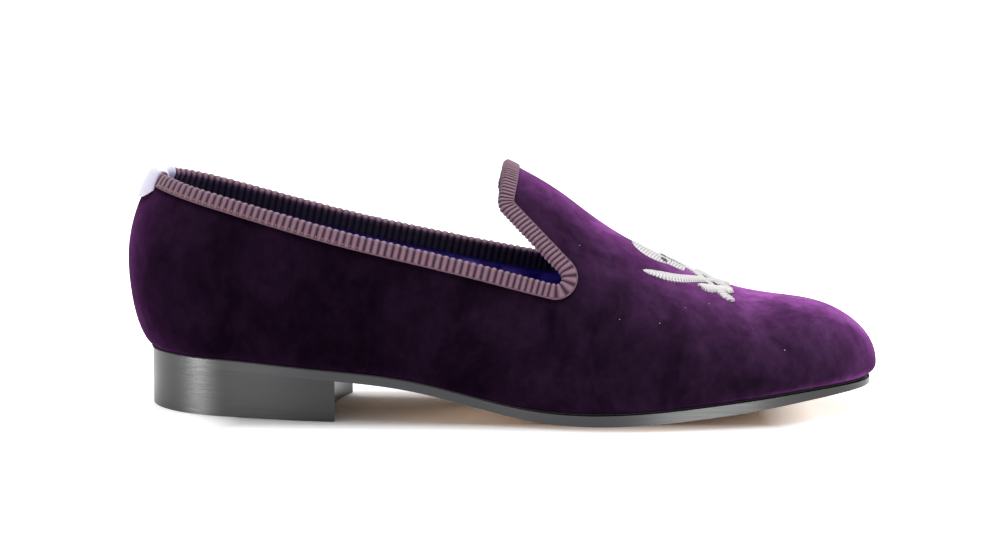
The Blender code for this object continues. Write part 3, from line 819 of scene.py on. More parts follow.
def make_lining(look):
    """Quilted satin lining inside the velvet, with sewn diamonds that start past the ribbons."""
    grid = skin_grid(heel_count=30, middle_count=190, toe_count=16, tuck_rows=8, dome_rows=150)
    rows, columns = grid.shape[:2]
    steps = np.linalg.norm(np.diff(grid, axis=1), axis=2)
    height = np.concatenate([np.zeros((rows, 1)), np.cumsum(steps, axis=1)], axis=1)
    height = np.minimum(height, height[:, -1:] - height)
    points = grid.reshape(-1, 3)
    away = grid_normals(grid).reshape(-1, 3)
    distance = edge_distance(points)
    puff, gathers = quilt_relief(points[:, 0], height.reshape(-1), look.quilt_pitch)
    from_seam = np.linalg.norm(points - EDGE[0], axis=1)
    by_tab = np.clip((TAB_REACH - from_seam) / TAB_BLEND, 0.0, 1.0)
    covered = BINDING_LINING_WIDTH + PUFF_MARGIN + (TAB_INNER_DROP - BINDING_LINING_WIDTH) * by_tab
    free = np.clip((distance - covered) / PUFF_RAMP, 0.0, 1.0) * above_seat(rows, columns, 2, 6.0)
    depth = WALL - LINING_OVERLAP + free * (look.quilt_height * puff + GATHER_HEIGHT * gathers)
    shaped = points - away * depth[:, None]
    faces = grid_faces(rows, columns)[:, ::-1]
    line = faces % columns
    low = (np.minimum(line, columns - 1 - line) < 1).any(axis=1)
    kept = (distance[faces] > -LINING_UNDER_RIBBON).all(axis=1) & ~low
    finish = satin_material("lining_satin", look.lining_colour[:], (0.05, 0.028, 0.34))
    lining = new_object("quilted_lining", shaped, faces[kept], finish)
    merge_folded(lining)


def rib_phase(distances):
    """Count of ribs from the back seam at distances along the edge loop, whole over the loop."""
    fine = np.linspace(0.0, LOOP_LENGTH, 6001)
    from_back = np.where(fine < TONGUE_REACH, fine, LOOP_LENGTH - fine)
    pitch = np.interp(from_back, [row[0] for row in RIB_ROWS], [row[1] for row in RIB_ROWS])
    steps = 0.5 * (1.0 / pitch[1:] + 1.0 / pitch[:-1]) * np.diff(fine)
    count = np.concatenate([[0.0], np.cumsum(steps)])
    count *= round(count[-1]) / count[-1]
    return np.interp(distances, fine, count)


def folded_rows(frames, outer_drops, angles, inner_drops, lift, crest):
    """Rows of points of a ribbon face folded over the edge. lift gives a row's height over the wall."""
    point, normal, inward = frames
    rows = []
    for drop in outer_drops:
        foot, face = on_skin(point + inward * drop, 3)
        rows.append(foot + face * lift(len(rows))[:, None])
    for angle in angles:
        height = lift(len(rows))
        rise = (WALL / 2.0 + height) * math.cos(angle) - WALL / 2.0
        over = (crest + height) * math.sin(angle)
        rows.append(point - inward * over[:, None] + normal * rise[:, None])
    for drop in inner_drops:
        foot, face = on_skin(point + inward * drop, 3)
        rows.append(foot - face * (WALL + lift(len(rows)))[:, None])
    return np.stack(rows, axis=1)


def closed_ribbon(name, front, back, finish, closed, maps=None):
    """Solid between a ribbon's front and back faces."""
    both = np.concatenate([front, back[:, ::-1]], axis=1)
    rows, columns = both.shape[:2]
    faces = grid_faces(rows, columns, close_rows=closed, close_columns=True)
    piece = new_object(name, both.reshape(-1, 3), faces, finish, maps)

    def fill_ends(work):
        open_edges = [edge for edge in work.edges if edge.is_boundary]
        bmesh.ops.holes_fill(work, edges=open_edges, sides=0)

    if not closed:
        change_mesh(piece, fill_ends)
    turn_outward(piece)
    return piece


def grosgrain_material(look):
    """Ribbed mauve ribbon: painted shade in the grooves between raised ribs and over the inner leg, and
    twisted threads.
    """
    ribbon = look.ribbon_colour[:]
    finish, tree, shader = principled("grosgrain", ribbon, 0.72, Specular_IOR_Level=0.25,
                                      Sheen_Weight=0.25)
    split = parts_of(tree, coordinates(tree, "UV"))
    # Painted shade in the grooves: the ribbon's colour darkens to near black between the ribs
    wave = calculate(tree, "COSINE", calculate(tree, "MULTIPLY", split["X"], 2.0 * math.pi))
    rib = remap(tree, wave, -1.0, 0.7)
    ridge = mix_colours(tree, rib, (0.030, 0.014, 0.026, 1.0), (*ribbon, 1.0))
    border = ramp_colours(tree, split["Y"], ((0.0, WHITE), (0.115, WHITE), (0.15, BLACK), (0.50, BLACK)))
    selvedge = mix_colours(tree, border, ridge, (0.155, 0.078, 0.112, 1.0))
    # Painted shade over the inner leg inside the shoe: its ribs are painted near black
    dark = mix_colours(tree, rib, (0.004, 0.004, 0.005, 1.0), (0.060, 0.045, 0.052, 1.0))
    inner = ramp_colours(tree, split["Y"], ((0.0, BLACK), (0.66, BLACK), (0.78, WHITE), (1.0, WHITE)))
    whole = mix_colours(tree, inner, selvedge, dark)
    stretched = coordinates(tree, "UV", stretch=(5.0, 30.0, 1.0))
    threads = relief(tree, stretched, 2.0, 3.0, 0.4, 0.0003, distortion=0.8)
    level = remap(tree, threads["Value"], 0.3, 0.7, 0.58, 1.35)
    varied = mix_colours(tree, 1.0, whole, level, "MULTIPLY")
    feed(tree, shader, {"Base Color": varied, "Normal": threads["Normal"]})
    return finish


def make_binding(look):
    """Grosgrain ribbon over the edge of the opening, with modelled ribs and a plain selvedge."""
    places = np.linspace(0.0, LOOP_LENGTH, 20001)
    ribs = rib_phase(places)
    points_per_rib = 8
    count = int(rib_phase(LOOP_LENGTH) * points_per_rib)
    distances = np.interp(np.arange(count) / points_per_rib, ribs, places)
    frames = edge_at(distances)
    phase = rib_phase(distances)
    chance = np.random.default_rng(7)
    uneven = chance.uniform(0.78, 1.12, int(round(phase.max())) + 2)[np.round(phase).astype(int)]
    rib = uneven * (0.5 + 0.5 * np.cos(2.0 * math.pi * phase)) ** 0.55
    outer = [BINDING_WIDTH * part for part in (1.0, 0.98, 0.92, 0.87, 0.60, 0.40, 0.20, 0.0)]
    angles = [math.radians(a) for a in (22, 45, 68, 90, 112, 135, 158)]
    inner = [BINDING_LINING_WIDTH * k / 6.0 for k in range(7)]
    ribbed_rows = len(outer) + len(angles) + len(inner) - 5
    ribbed = [0.0, 0.15, 0.2, 0.85] + [1.0] * ribbed_rows + [0.3]
    rise = [0.45, 0.95, 0.9, 0.6] + [0.55] * ribbed_rows + [0.2]

    def lift(row):
        return BINDING_LIFT * rise[row] + look.rib_height * ribbed[row] * rib

    def under(row):
        return np.full(len(rib), BINDING_UNDER_LIFT)

    front = folded_rows(frames, outer, angles, inner, lift, CREST_GAP - BINDING_LIFT * 0.55)
    back = folded_rows(frames, outer, angles, inner, under, BINDING_UNDER_GAP)
    width = front.shape[1]
    across = np.concatenate([np.linspace(0.0, 0.999, width), np.linspace(0.999, 0.0, width)])
    maps = np.stack([np.repeat(phase, 2 * width), np.tile(across, len(phase))], axis=1)
    binding = closed_ribbon("topline_binding_ribbon", front, back, grosgrain_material(look), True, maps)
    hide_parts("topline_binding")


def tube(path, side, up, half_width, half_height, lift, sides):
    """Points around a path, place by place: an oval that is moved up by the lift."""
    ring = []
    for j in range(sides):
        angle = 2.0 * math.pi * j / sides
        over = lift + half_height * math.sin(angle)
        ring.append(path + side * (half_width * math.cos(angle)) + up * over)
    return np.stack(ring, axis=1).reshape(-1, 3)


def capsule_points(start, finish, up, radius, rings=4, sides=6):
    """Points and faces of a short thread bent over from start to finish."""
    axis = finish - start
    side = unit(np.cross(axis, up))
    top = np.cross(side, unit(axis))
    place = np.arange(rings + 1)[:, None] / rings
    size = radius * np.sin(math.pi * (0.12 + 0.76 * place)) ** 0.5
    centres = start + axis * place + top * radius * 0.8 * np.sin(math.pi * place)
    faces = grid_faces(rings + 1, sides, close_columns=True).tolist()
    faces.append(list(range(sides))[::-1])
    faces.append(list(range(rings * sides, (rings + 1) * sides)))
    return tube(centres, side, top, size, size, 0.0, sides), faces


def join_shapes(shapes):
    """One list of points and faces from several."""
    faces = []
    start = 0
    for shape in shapes:
        faces += [[start + k for k in face] for face in shape[1]]
        start += len(shape[0])
    return np.concatenate([shape[0] for shape in shapes]), faces


def make_stitches(look):
    """Sewing thread that catches the ribbon's lower edge, in the grooves between ribs."""
    total = int(rib_phase(LOOP_LENGTH))
    places = np.linspace(0.0, LOOP_LENGTH, 20001)
    distances = np.interp(np.arange(total) + 0.5, rib_phase(places), places)
    point, normal, inward = edge_at(distances)
    low, low_face = on_skin(point + inward * (BINDING_WIDTH * 0.84))
    high, high_face = on_skin(point + inward * (BINDING_WIDTH * 0.66))
    from_seam = np.minimum(distances, LOOP_LENGTH - distances)
    shapes = []
    for i in np.flatnonzero((from_seam >= STITCHES_FROM) & (from_seam <= STITCHES_TO)):
        start = low[i] + low_face[i] * STITCH_LOW_LIFT
        finish = high[i] + high_face[i] * STITCH_HIGH_LIFT
        size = STITCH_RADIUS - STITCH_THINNING * from_seam[i]
        shapes.append(capsule_points(start, finish, normal[i], size))
    points, faces = join_shapes(shapes)
    thread = principled("binding_thread", look.thread_colour[:], 0.55)[0]
    stitches = new_object("binding_stitches", points, faces, thread)


def make_tab(look):
    """Satin ribbon looped over the binding at the back seam."""
    distances = np.linspace(-TAB_WIDTH / 2.0, TAB_WIDTH / 2.0, 41)
    point, normal, inward = edge_at(distances)
    down = np.array([0.10, 0.0, -1.0])
    flat = unit(down - normal * (normal @ down)[:, None])
    frames = (point, normal, unit(inward * 0.15 + flat * 0.85))
    across = np.abs(np.linspace(-1.0, 1.0, len(distances)))
    crown = 1.0 - 0.35 * across ** 6
    hang = TAB_OUTER_DROP * (1.0 - 0.5 * across ** 2.5)[:, None]
    outer = [hang * reach for reach in np.linspace(1.0, 0.0, 12)]
    angles = [math.radians(a) for a in range(15, 166, 15)]
    inner = np.linspace(0.0, TAB_INNER_DROP, 10)
    share_up = np.linspace(0.0, 1.0, len(outer) + len(angles) + len(inner))
    puff = 0.55 + 0.45 * np.sin(np.pi * np.clip(share_up * 1.15 - 0.05, 0.0, 1.0)) ** 0.7

    def lift(row):
        return TAB_LIFT * puff[row] * crown

    def under(row):
        return lift(row) - TAB_THICKNESS

    front = folded_rows(frames, outer, angles, inner, lift, TAB_GAP)
    back = folded_rows(frames, outer, angles, inner, under, TAB_GAP - 0.0001)
    finish = satin_material("tab_ribbon", look.tab_colour[:], (0.62, 0.58, 0.80))
    tab = closed_ribbon("heel_tab_ribbon", front, back, finish, False)
    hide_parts("heel_tab")


def sole_half_width(side, x):
    """Half width of the outsole."""
    width = half_width("seat", side, x) + share("lip", x) * SOLE_LIP
    return width * end_rounding(x, HEEL_OVERHANG, SOLE_FRONT)


def insole_half_width(side, x):
    """Half width of the insole, up to the lining."""
    width = half_width("seat", side, x) - SOCK_INSET
    return width * end_rounding(x, HEEL_OVERHANG + SOCK_INSET, SEAT_FRONT - SOCK_INSET)


def plate_grid(places, side_width, columns):
    """Plan points over a plate outline, with the share of the half width at each."""
    across = np.sin(np.linspace(-math.pi / 2.0, math.pi / 2.0, columns))
    x = np.repeat(places[:, None], columns, axis=1)
    spread = np.repeat(across[None, :], len(places), axis=0)
    width = np.where(spread < 0.0, side_width(-1, x), side_width(1, x))
    return x, middle_line(x) + spread * width, spread


def plate_solid(name, x, y, top, bottom, finish):
    """Solid between two heights over a grid of plan points."""
    rows, columns = x.shape
    upper = np.stack([x, y, top], axis=2).reshape(-1, 3)
    lower = np.stack([x, y, bottom], axis=2).reshape(-1, 3)
    points = np.concatenate([upper, lower])
    cells = grid_faces(rows, columns)
    index = np.arange(rows * columns).reshape(rows, columns)
    rim = np.concatenate([index[0, :-1], index[:-1, -1], index[-1, :0:-1], index[:0:-1, 0]])
    after = np.roll(rim, -1)
    walls = np.stack([rim, after, after + rows * columns, rim + rows * columns], axis=1)
    faces = cells.tolist() + (cells[:, ::-1] + rows * columns).tolist() + walls.tolist()
    piece = new_object(name, points, faces, finish)
    merge_folded(piece, 2e-6)
    turn_outward(piece)
    piece.data.set_sharp_from_angle(angle=SHARP_ANGLE)
    return piece


def soften_edges(piece, width):
    """Round the sharp edges of a plate."""
    bevel = piece.modifiers.new("edges", "BEVEL")
    bevel.width = width
    bevel.segments = 3
    bevel.limit_method = "ANGLE"
    bevel.angle_limit = SHARP_ANGLE


def edge_leather_material(name, look, tan_under):
    """Dark satin edge dressing with faint long scratches, and tan leather where a face looks down."""
    dressing = look.edge_colour[:]
    finish, tree, shader = principled(name, dressing, 0.33, Specular_IOR_Level=0.36)
    stretched = coordinates(tree, stretch=(0.15, 1.0, 4.0))
    scratches = relief(tree, stretched, 260.0, 4.0, 0.08, 0.0003)
    rough = remap(tree, scratches["Value"], 0.3, 0.7, 0.29, 0.33)
    feed(tree, shader, {"Roughness": rough, "Normal": scratches["Normal"]})
    if tan_under:
        facing = tree.nodes.new("ShaderNodeNewGeometry").outputs["Normal"]
        down = remap(tree, parts_of(tree, facing)["Z"], -0.55, -0.80)
        both = mix_colours(tree, down, (*dressing, 1.0), (*look.tan_colour[:], 1.0))
        feed(tree, shader, {"Base Color": both})
    return finish


def make_outsole(look):
    """Thin leather sole with softened edges."""
    places = stations(HEEL_OVERHANG, SOLE_FRONT, 34, 130, 36)
    x, y, across = plate_grid(places, sole_half_width, 33)
    spread = np.abs(across)
    spread[0] = 1.0
    spread[-1] = 1.0
    low = np.maximum(0.0, under_sole(x, spread))
    finish = edge_leather_material("sole_leather", look, True)
    sole = plate_solid("outsole_leather", x, y, sole_top(x, spread), low, finish)
    soften_edges(sole, SOLE_BEVEL)
    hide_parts("outsole")


def make_heel(look):
    """Low heel block with a hollow breast."""
    heel_centre = HEEL_CENTRE_AT * SHOE_LENGTH
    outer_front = BREAST_OUTER_AT * SHOE_LENGTH
    inner_front = BREAST_INNER_AT * SHOE_LENGTH
    turn = np.pi / 2.0 * (1.0 - np.arange(28) / 28.0)
    places = heel_centre - (heel_centre - HEEL_OVERHANG) * np.sin(turn)
    x, y, across = plate_grid(places, sole_half_width, 33)
    line = across[0]
    straight = outer_front + (inner_front - outer_front) * (line + 1.0) / 2.0
    breast = straight - BREAST_HOLLOW * (1.0 - line ** 2)
    ahead = np.linspace(0.0, 1.0, 25)[:, None]
    x_ahead = heel_centre + (breast[None, :] - heel_centre) * ahead
    spread = np.repeat(line[None, :], len(ahead), axis=0)
    width = np.where(spread < 0.0, sole_half_width(-1, x_ahead), sole_half_width(1, x_ahead))
    x = np.concatenate([x, x_ahead])
    y = np.concatenate([y, middle_line(x_ahead) + spread * width])
    spread = np.abs(np.concatenate([across, spread]))
    spread[0] = 1.0
    finish = edge_leather_material("heel_leather", look, False)
    heel = plate_solid("heel_block", x, y, under_sole(x, spread), np.zeros_like(x), finish)
    soften_edges(heel, HEEL_BEVEL)
    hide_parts("heel")


def make_insole(look):
    """Satin sock on the sole, slightly crowned, with a rounded rim."""
    places = stations(HEEL_OVERHANG + SOCK_INSET, SEAT_FRONT - SOCK_INSET, 24, 90, 18)
    x, y, across = plate_grid(places, insole_half_width, 41)
    spread = np.abs(across)
    spread[0] = 1.0
    spread[-1] = 1.0
    base = sole_top(x, spread) + CLEARANCE
    rim = np.clip((1.0 - spread) / 0.10, 0.0, 1.0) ** 0.5
    top = base + INSOLE_THICKNESS * (0.55 + 0.45 * rim)
    finish = satin_material("sock_satin", look.lining_colour[:], (0.020, 0.010, 0.11))
    sock = plate_solid("insole_sock", x, y, top, base, finish)
    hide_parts("insole")


def make_seam_shadow_line():
    """Thin dark strip in the angle between velvet and sole: a painted shadow of the gap there."""
    places = stations(HEEL_OVERHANG, SEAT_FRONT, 40, 150, 40)
    ends = end_rounding(places, HEEL_OVERHANG, SEAT_FRONT)
    lines = []
    for side in (-1, 1):
        y = middle_line(places) + side * half_width("seat", side, places) * ends
        lines.append(np.stack([places, y, seat_height(places)], axis=1))
    loop = np.concatenate([lines[0][:-1], lines[1][::-1][:-1]])
    along = unit(np.roll(loop, -1, axis=0) - np.roll(loop, 1, axis=0))
    up = np.array([0.0, 0.0, 1.0])
    out = unit(np.cross(along, up))
    sides = 8
    points = tube(loop, out, up, SEAM_SHADOW_HALF_WIDTH, SEAM_SHADOW_HALF_HEIGHT, SEAM_SHADOW_LIFT, sides)
    faces = grid_faces(len(loop), sides, close_rows=True, close_columns=True)
    # Painted shadow: a near black strip in the gap between velvet and sole
    finish = principled("seam_shadow", (0.012, 0.010, 0.014), 0.6)[0]
    seam_shadow = new_object("sole_rand", points, faces, finish)
    turn_outward(seam_shadow)


def over_vamp(flat, mirror=False):
    """Skin points and normals under rows of x forward of the shoe's middle and a way out."""
    x = flat[:, 0]
    out = -flat[:, 1] if mirror else flat[:, 1]
    out = out + FIGURE_OUT + FIGURE_TURN * (x - FIGURE_START)
    x = x + SHOE_LENGTH / 2.0
    places = np.stack([x, middle_line(x), belly_height(x) + ridge_rise(x)], axis=1)
    places, normals = on_skin(places)
    steps = 24
    for _ in range(steps):
        way = np.stack([np.zeros_like(x), normals[:, 2], -normals[:, 1]], axis=1)
        places, normals = on_skin(places - unit(way) * (out / steps)[:, None], 2)
    return places, normals


def stroke_line(rows, spacing):
    """Even points along a stroke, with the distance, half width and sideways direction at each."""
    rows = np.array(rows, float) * MILLIMETRE
    fine = resample(rows[:, :2], spacing)
    along = arc_lengths(fine)
    half = np.interp(along, arc_lengths(rows[:, :2]), rows[:, 2])
    way = unit(np.gradient(fine, axis=0))
    return fine, along, half, np.stack([-way[:, 1], way[:, 0]], axis=1)


def stroke_shape(rows, mirror, slant, height, thread, serration, columns=11):
    """Points and faces of a satin stitched stroke laid over the vamp, with threads counted in its map."""
    fine, along, half, across = stroke_line(rows, STROKE_SPACING)
    share_across = np.linspace(-1.0, 1.0, columns)
    wobble = 1.0 + serration * np.abs(np.sin(math.pi * along / SERRATION_PITCH)) - serration * 0.5
    reach = (half * wobble)[:, None, None] * share_across[None, :, None]
    flat = fine[:, None, :] + across[:, None, :] * reach
    place, normal = over_vamp(flat.reshape(-1, 2), mirror)
    lateral = np.abs(share_across[None, :] * half[:, None]).reshape(-1)
    count = (np.repeat(along, columns) + slant * lateral) / thread
    v = np.tile(share_across, len(along))
    full = np.minimum(1.0, np.repeat(half, columns) / FULL_HEIGHT_FROM)
    dome = np.maximum(0.0, 1.0 - v ** 2) ** 0.5
    ridges = np.abs(np.sin(math.pi * count))
    rise = full * dome * (height + THREAD_RIDGE * ridges) - THREAD_SINK
    faces = grid_faces(len(along), columns).tolist()
    return place + normal * rise[:, None], faces, np.stack([count, v], axis=1)


def thread_material(look):
    """Pale silk thread with painted shade in the gaps between neighbouring threads."""
    silk = look.figure_colour[:]
    finish, tree, shader = principled("embroidery_thread", silk, 0.42, Specular_IOR_Level=0.5)
    split = parts_of(tree, coordinates(tree, "UV"))
    wave = calculate(tree, "SINE", calculate(tree, "MULTIPLY", split["X"], math.pi))
    # Painted shade between neighbouring threads
    painted_gap_shade = remap(tree, calculate(tree, "ABSOLUTE", wave), 0.0, 0.55)
    feed(tree, shader, {"Base Color": mix_colours(tree, painted_gap_shade, (0.17, 0.14, 0.19, 1.0), (*silk, 1.0))})
    return finish


def cord_shape(rows, mirror, offset, sides=6):
    """Points and faces of a thin outline thread beside a stroke, on one side of it."""
    fine, _, half, across = stroke_line(rows, CORD_SPACING)
    place, normal = over_vamp(fine + across * (half * offset)[:, None], mirror)
    tangent = unit(np.gradient(place, axis=0))
    side = unit(np.cross(tangent, normal))
    points = tube(place, side, normal, CORD_RADIUS, CORD_RADIUS, CORD_RADIUS * 0.6, sides)
    return points, grid_faces(len(place), sides, close_columns=True).tolist()


def make_figure(look):
    """Raised satin stitch figure on the vamp: a skull over two crossed swords."""
    lift = look.stitch_height
    pale = []
    dark = []
    for mirror in (False, True):
        pale.append(stroke_shape(BLADE, mirror, 0.8, lift * (0.95 if mirror else 0.75), 0.0015, 0.42))
        pale.append(stroke_shape(GUARD, mirror, 0.3, lift * 1.5, 0.0011, 0.22))
        pale.append(stroke_shape(GRIP, mirror, 0.3, lift * 1.4, 0.0011, 0.22))
        dark.append(stroke_shape(EYE, mirror, 0.2, lift * 1.75, 0.0005, 0.0))
        dark.append(stroke_shape(TOOTH, mirror, 0.0, lift * 1.7, 0.0005, 0.0, 5))
        for offset in (-1.05, 1.05):
            for rows in (BLADE, GUARD, GRIP):
                dark.append(cord_shape(rows, mirror, offset))
    pale.append(stroke_shape(SKULL, False, 0.25, lift * 1.25, 0.0011, 0.05, 33))
    dark.append(stroke_shape(NOSE, False, 0.2, lift * 1.8, 0.0005, 0.0))
    for offset in (-1.02, 1.02):
        dark.append(cord_shape(SKULL, False, offset))
    points, faces = join_shapes(pale)
    maps = np.concatenate([shape[2] for shape in pale])
    figure = new_object("embroidered_figure", points, faces, thread_material(look), maps)
    points, faces = join_shapes(dark)
    finish = principled("outline_thread", (0.055, 0.050, 0.070), 0.55)[0]
    outline = new_object("embroidered_outline", points, faces, finish)


def make_lint():
    """A few pale specks of fluff on the pile."""
    chance = np.random.default_rng(11)
    shapes = []
    for x, out, size in LINT_SPOTS:
        place, normal = over_vamp(np.array([[x, out]]) * MILLIMETRE)
        way = unit(np.cross(normal[0], chance.normal(size=3)))
        centre = place[0] + normal[0] * 0.0001
        reach = way * size * 0.0011
        shapes.append(capsule_points(centre - reach, centre + reach, normal[0], size * 0.0008))
    points, faces = join_shapes(shapes)
    finish = principled("lint", (0.62, 0.52, 0.64), 0.9)[0]
    lint = new_object("lint_specks", points, faces, finish)


def add_light(name, place, target, size, power, pieces):
    """White area light that looks at a point and falls on all pieces, or on the named ones only."""
    data = bpy.data.lights.new(name, "AREA")
    data.shape = "RECTANGLE"
    data.size, data.size_y = size
    data.energy = power
    lamp = bpy.data.objects.new(name, data)
    lamp.location = place
    lamp.rotation_euler = (Vector(target) - Vector(place)).to_track_quat("-Z", "Y").to_euler()
    bpy.context.scene.collection.objects.link(lamp)
    if pieces:
        lit = bpy.data.collections.new(name + "_pieces")
        for piece in pieces:
            lit.objects.link(bpy.data.objects[piece])
        lamp.light_linking.receiver_collection = lit


def make_world(stage):
    """White surroundings for the eye, bright above and at the sides and dimmer where the eye is."""
    world = bpy.data.worlds.new("studio")
    bpy.context.scene.world = world
    world.use_nodes = True
    tree = world.node_tree
    split = parts_of(tree, coordinates(tree, "Generated"))
    depth = remap(tree, split["Y"], -0.95, 0.25, stage.front_level, stage.back_level)
    seen = tree.nodes.new("ShaderNodeLightPath").outputs["Is Camera Ray"]
    level = add_node(tree, "ShaderNodeMix", {"Factor": seen, "A": depth, "B": 1.0}).outputs["Result"]
    feed(tree, tree.nodes["Background"], {"Color": (1.0, 1.0, 1.0, 1.0), "Strength": level})


def make_camera(stage):
    """Camera at the photograph's angle."""
    data = bpy.data.cameras.new("camera")
    data.sensor_width = 36.0
    data.lens = stage.lens
    data.clip_start = 0.01
    camera = bpy.data.objects.new("camera", data)
    high = stage.elevation
    turn = stage.azimuth
    back = Vector((math.sin(turn) * math.cos(high), -math.cos(turn) * math.cos(high), math.sin(high)))
    target = Vector(stage.target)
    camera.location = target + back * stage.distance
    camera.rotation_euler = back.to_track_quat("Z", "Y").to_euler()
    bpy.context.scene.collection.objects.link(camera)
    bpy.context.scene.camera = camera


def make_floor():
    """White floor that the shoe stands on, which glows a little beyond the shoe to stay white."""
    mesh = bpy.data.meshes.new("floor")
    corners = [(x * FLOOR_REACH, y * FLOOR_REACH, 0.0) for x, y in ((-1, -1), (1, -1), (1, 1), (-1, 1))]
    mesh.from_pydata(corners, [], [(0, 1, 2, 3)])
    finish, tree, shader = principled("floor", (0.90, 0.90, 0.90), 0.9, Specular_IOR_Level=0.1,
                                      Emission_Color=(1.0, 1.0, 1.0, 1.0))
    split = parts_of(tree, coordinates(tree))
    beyond = []
    for axis, half in zip("XY", DIM_FLOOR_HALVES):
        beyond.append(calculate(tree, "SUBTRACT", calculate(tree, "ABSOLUTE", split[axis]), half))
    farther = calculate(tree, "MAXIMUM", *beyond)
    feed(tree, shader, {"Emission Strength": remap(tree, farther, -0.012, 0.010, 0.0, FLOOR_GLOW)})
    mesh.materials.append(finish)
    floor = bpy.data.objects.new("floor", mesh)
    floor.location.z = -FLOOR_DROP
    bpy.context.scene.collection.objects.link(floor)


class SlipperLook(bpy.types.PropertyGroup):
    """Sizes and colours of the slipper's visible pieces."""
    velvet_colour: bpy.props.FloatVectorProperty(
        name="Velvet", description="Colour of the pile, which its tones are shares of", subtype="COLOR",
        default=(0.045, 0.008, 0.065))
    nap_contrast: bpy.props.FloatProperty(
        name="Nap contrast", description="How much darker brushed patches are", default=0.52,
        min=0.0, max=0.9)
    wave_height: bpy.props.FloatProperty(
        name="Waves", description="Height of the velvet's slow waves", subtype="DISTANCE", unit="LENGTH",
        default=0.00025)
    ribbon_colour: bpy.props.FloatVectorProperty(
        name="Ribbon", description="Colour of the ribs of the binding", subtype="COLOR",
        default=(0.27, 0.142, 0.20))
    rib_height: bpy.props.FloatProperty(
        name="Rib height", description="Height of the ribbon's ribs", subtype="DISTANCE", unit="LENGTH",
        default=0.00055)
    thread_colour: bpy.props.FloatVectorProperty(
        name="Binding thread", description="Colour of the thread at the ribbon's edge", subtype="COLOR",
        default=(0.42, 0.27, 0.16))
    lining_colour: bpy.props.FloatVectorProperty(
        name="Lining", description="Colour of the quilted satin", subtype="COLOR",
        default=(0.24, 0.14, 0.92))
    quilt_pitch: bpy.props.FloatProperty(
        name="Quilt pitch", description="Width of a quilted diamond", subtype="DISTANCE", unit="LENGTH",
        default=0.017)
    quilt_height: bpy.props.FloatProperty(
        name="Quilt height", description="Puff of a quilted diamond", subtype="DISTANCE", unit="LENGTH",
        default=0.0042)
    tab_colour: bpy.props.FloatVectorProperty(
        name="Heel tab", description="Colour of the satin tab", subtype="COLOR",
        default=(0.93, 0.92, 0.98))
    edge_colour: bpy.props.FloatVectorProperty(
        name="Sole edge", description="Colour of sole edge and heel", subtype="COLOR",
        default=(0.007, 0.0072, 0.008))
    tan_colour: bpy.props.FloatVectorProperty(
        name="Sole underside", description="Colour of the leather underneath", subtype="COLOR",
        default=(0.42, 0.28, 0.18))
    figure_colour: bpy.props.FloatVectorProperty(
        name="Figure", description="Colour of the embroidery thread", subtype="COLOR",
        default=(0.60, 0.58, 0.58))
    stitch_height: bpy.props.FloatProperty(
        name="Stitch height", description="Height of the embroidery over the pile", subtype="DISTANCE",
        unit="LENGTH", default=0.0007)


class SlipperStage(bpy.types.PropertyGroup):
    """Camera and light of the photograph's view."""
    lens: bpy.props.FloatProperty(
        name="Lens", description="Focal length in millimetres on a 36 mm sensor", default=100.8)
    distance: bpy.props.FloatProperty(
        name="Distance", description="Camera distance from its target", subtype="DISTANCE", unit="LENGTH",
        default=1.0931)
    elevation: bpy.props.FloatProperty(
        name="Elevation", description="Camera angle over the floor", subtype="ANGLE", unit="ROTATION",
        default=math.radians(8.66))
    azimuth: bpy.props.FloatProperty(
        name="Azimuth", description="Camera angle from the outer side towards the toe", subtype="ANGLE",
        unit="ROTATION", default=math.radians(0.07))
    target: bpy.props.FloatVectorProperty(
        name="Target", description="Point that the camera looks at", subtype="TRANSLATION",
        default=(-0.00047, 0.0, 0.05486))
    front_level: bpy.props.FloatProperty(
        name="Front level", description="Brightness of the room on the camera's side", default=0.28)
    back_level: bpy.props.FloatProperty(
        name="Back level", description="Brightness of the room behind the shoe", default=0.50)


class SLIPPER_OT_upper(bpy.types.Operator):
    """Build the velvet upper and its lint"""
    bl_idname = "slipper.upper"
    bl_label = "Velvet upper"

    def execute(self, context):
        make_velvet(context.scene.slipper_look)
        make_lint()
        return {"FINISHED"}


class SLIPPER_OT_lining(bpy.types.Operator):
    """Build the quilted lining and the sock"""
    bl_idname = "slipper.lining"
    bl_label = "Lining and sock"

    def execute(self, context):
        make_lining(context.scene.slipper_look)
        make_insole(context.scene.slipper_look)
        return {"FINISHED"}


class SLIPPER_OT_trims(bpy.types.Operator):
    """Build the ribbed binding, its stitches and the heel tab"""
    bl_idname = "slipper.trims"
    bl_label = "Binding and tab"

    def execute(self, context):
        make_binding(context.scene.slipper_look)
        make_stitches(context.scene.slipper_look)
        make_tab(context.scene.slipper_look)
        return {"FINISHED"}


class SLIPPER_OT_sole(bpy.types.Operator):
    """Build the outsole, heel and the painted shadow strip at the seam"""
    bl_idname = "slipper.sole"
    bl_label = "Sole and heel"

    def execute(self, context):
        make_outsole(context.scene.slipper_look)
        make_heel(context.scene.slipper_look)
        make_seam_shadow_line()
        return {"FINISHED"}


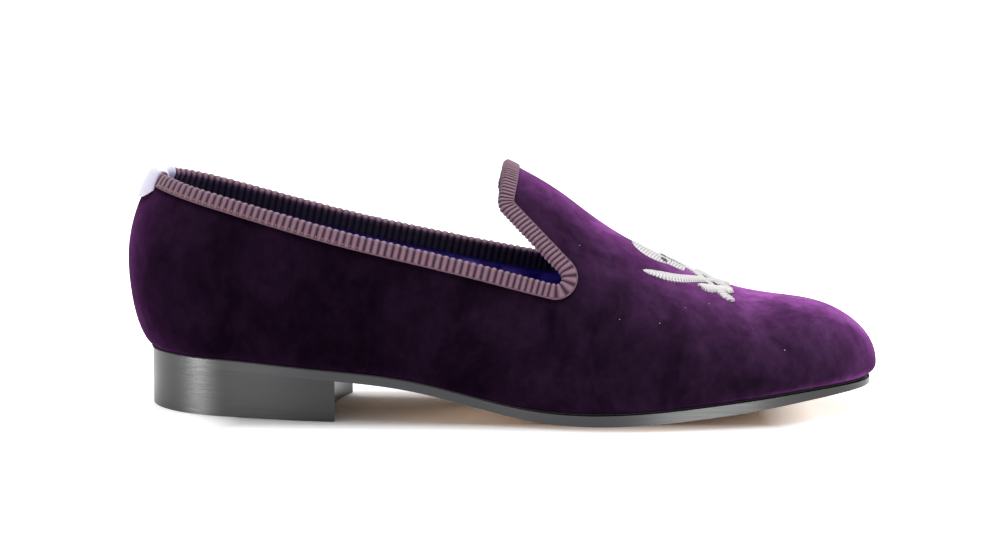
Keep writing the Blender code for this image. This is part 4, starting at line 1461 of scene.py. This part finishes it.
class SLIPPER_OT_figure(bpy.types.Operator):
    """Build the embroidered figure on the vamp"""
    bl_idname = "slipper.figure"
    bl_label = "Embroidered figure"

    def execute(self, context):
        make_figure(context.scene.slipper_look)
        return {"FINISHED"}


class SLIPPER_OT_stage(bpy.types.Operator):
    """Build the floor, light and camera"""
    bl_idname = "slipper.stage"
    bl_label = "Stage"

    def execute(self, context):
        stage = context.scene.slipper_stage
        make_floor()
        make_world(stage)
        for light in LIGHTS:
            add_light(*light)
        make_camera(stage)
        context.scene.view_settings.view_transform = "Standard"
        return {"FINISHED"}


class SLIPPER_PT_panel(bpy.types.Panel):
    """Panel that lists the slipper's pieces"""
    bl_idname = "SLIPPER_PT_panel"
    bl_label = "Slipper"
    bl_space_type = "VIEW_3D"
    bl_region_type = "UI"
    bl_category = "Slipper"

    def draw(self, context):
        for group in (context.scene.slipper_look, context.scene.slipper_stage):
            for name in group.__annotations__:
                self.layout.prop(group, name)
        for operator in OPERATORS:
            self.layout.operator(operator.bl_idname)


OPERATORS = (SLIPPER_OT_upper, SLIPPER_OT_lining, SLIPPER_OT_trims, SLIPPER_OT_sole, SLIPPER_OT_figure,
             SLIPPER_OT_stage)
CLASSES = (SlipperLook, SlipperStage, *OPERATORS, SLIPPER_PT_panel)


def register():
    """Register the classes and the scene's settings."""
    for kind in CLASSES:
        bpy.utils.register_class(kind)
    bpy.types.Scene.slipper_look = bpy.props.PointerProperty(type=SlipperLook)
    bpy.types.Scene.slipper_stage = bpy.props.PointerProperty(type=SlipperStage)


def unregister():
    """Take the settings and classes away again."""
    del bpy.types.Scene.slipper_stage
    del bpy.types.Scene.slipper_look
    for kind in reversed(CLASSES):
        bpy.utils.unregister_class(kind)


def main():
    """Build the slipper in order."""
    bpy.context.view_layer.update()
    register()
    bpy.ops.slipper.upper()
    bpy.ops.slipper.lining()
    bpy.ops.slipper.trims()
    bpy.ops.slipper.sole()
    bpy.ops.slipper.figure()
    bpy.ops.slipper.stage()


if __name__ == "__main__":
    main()
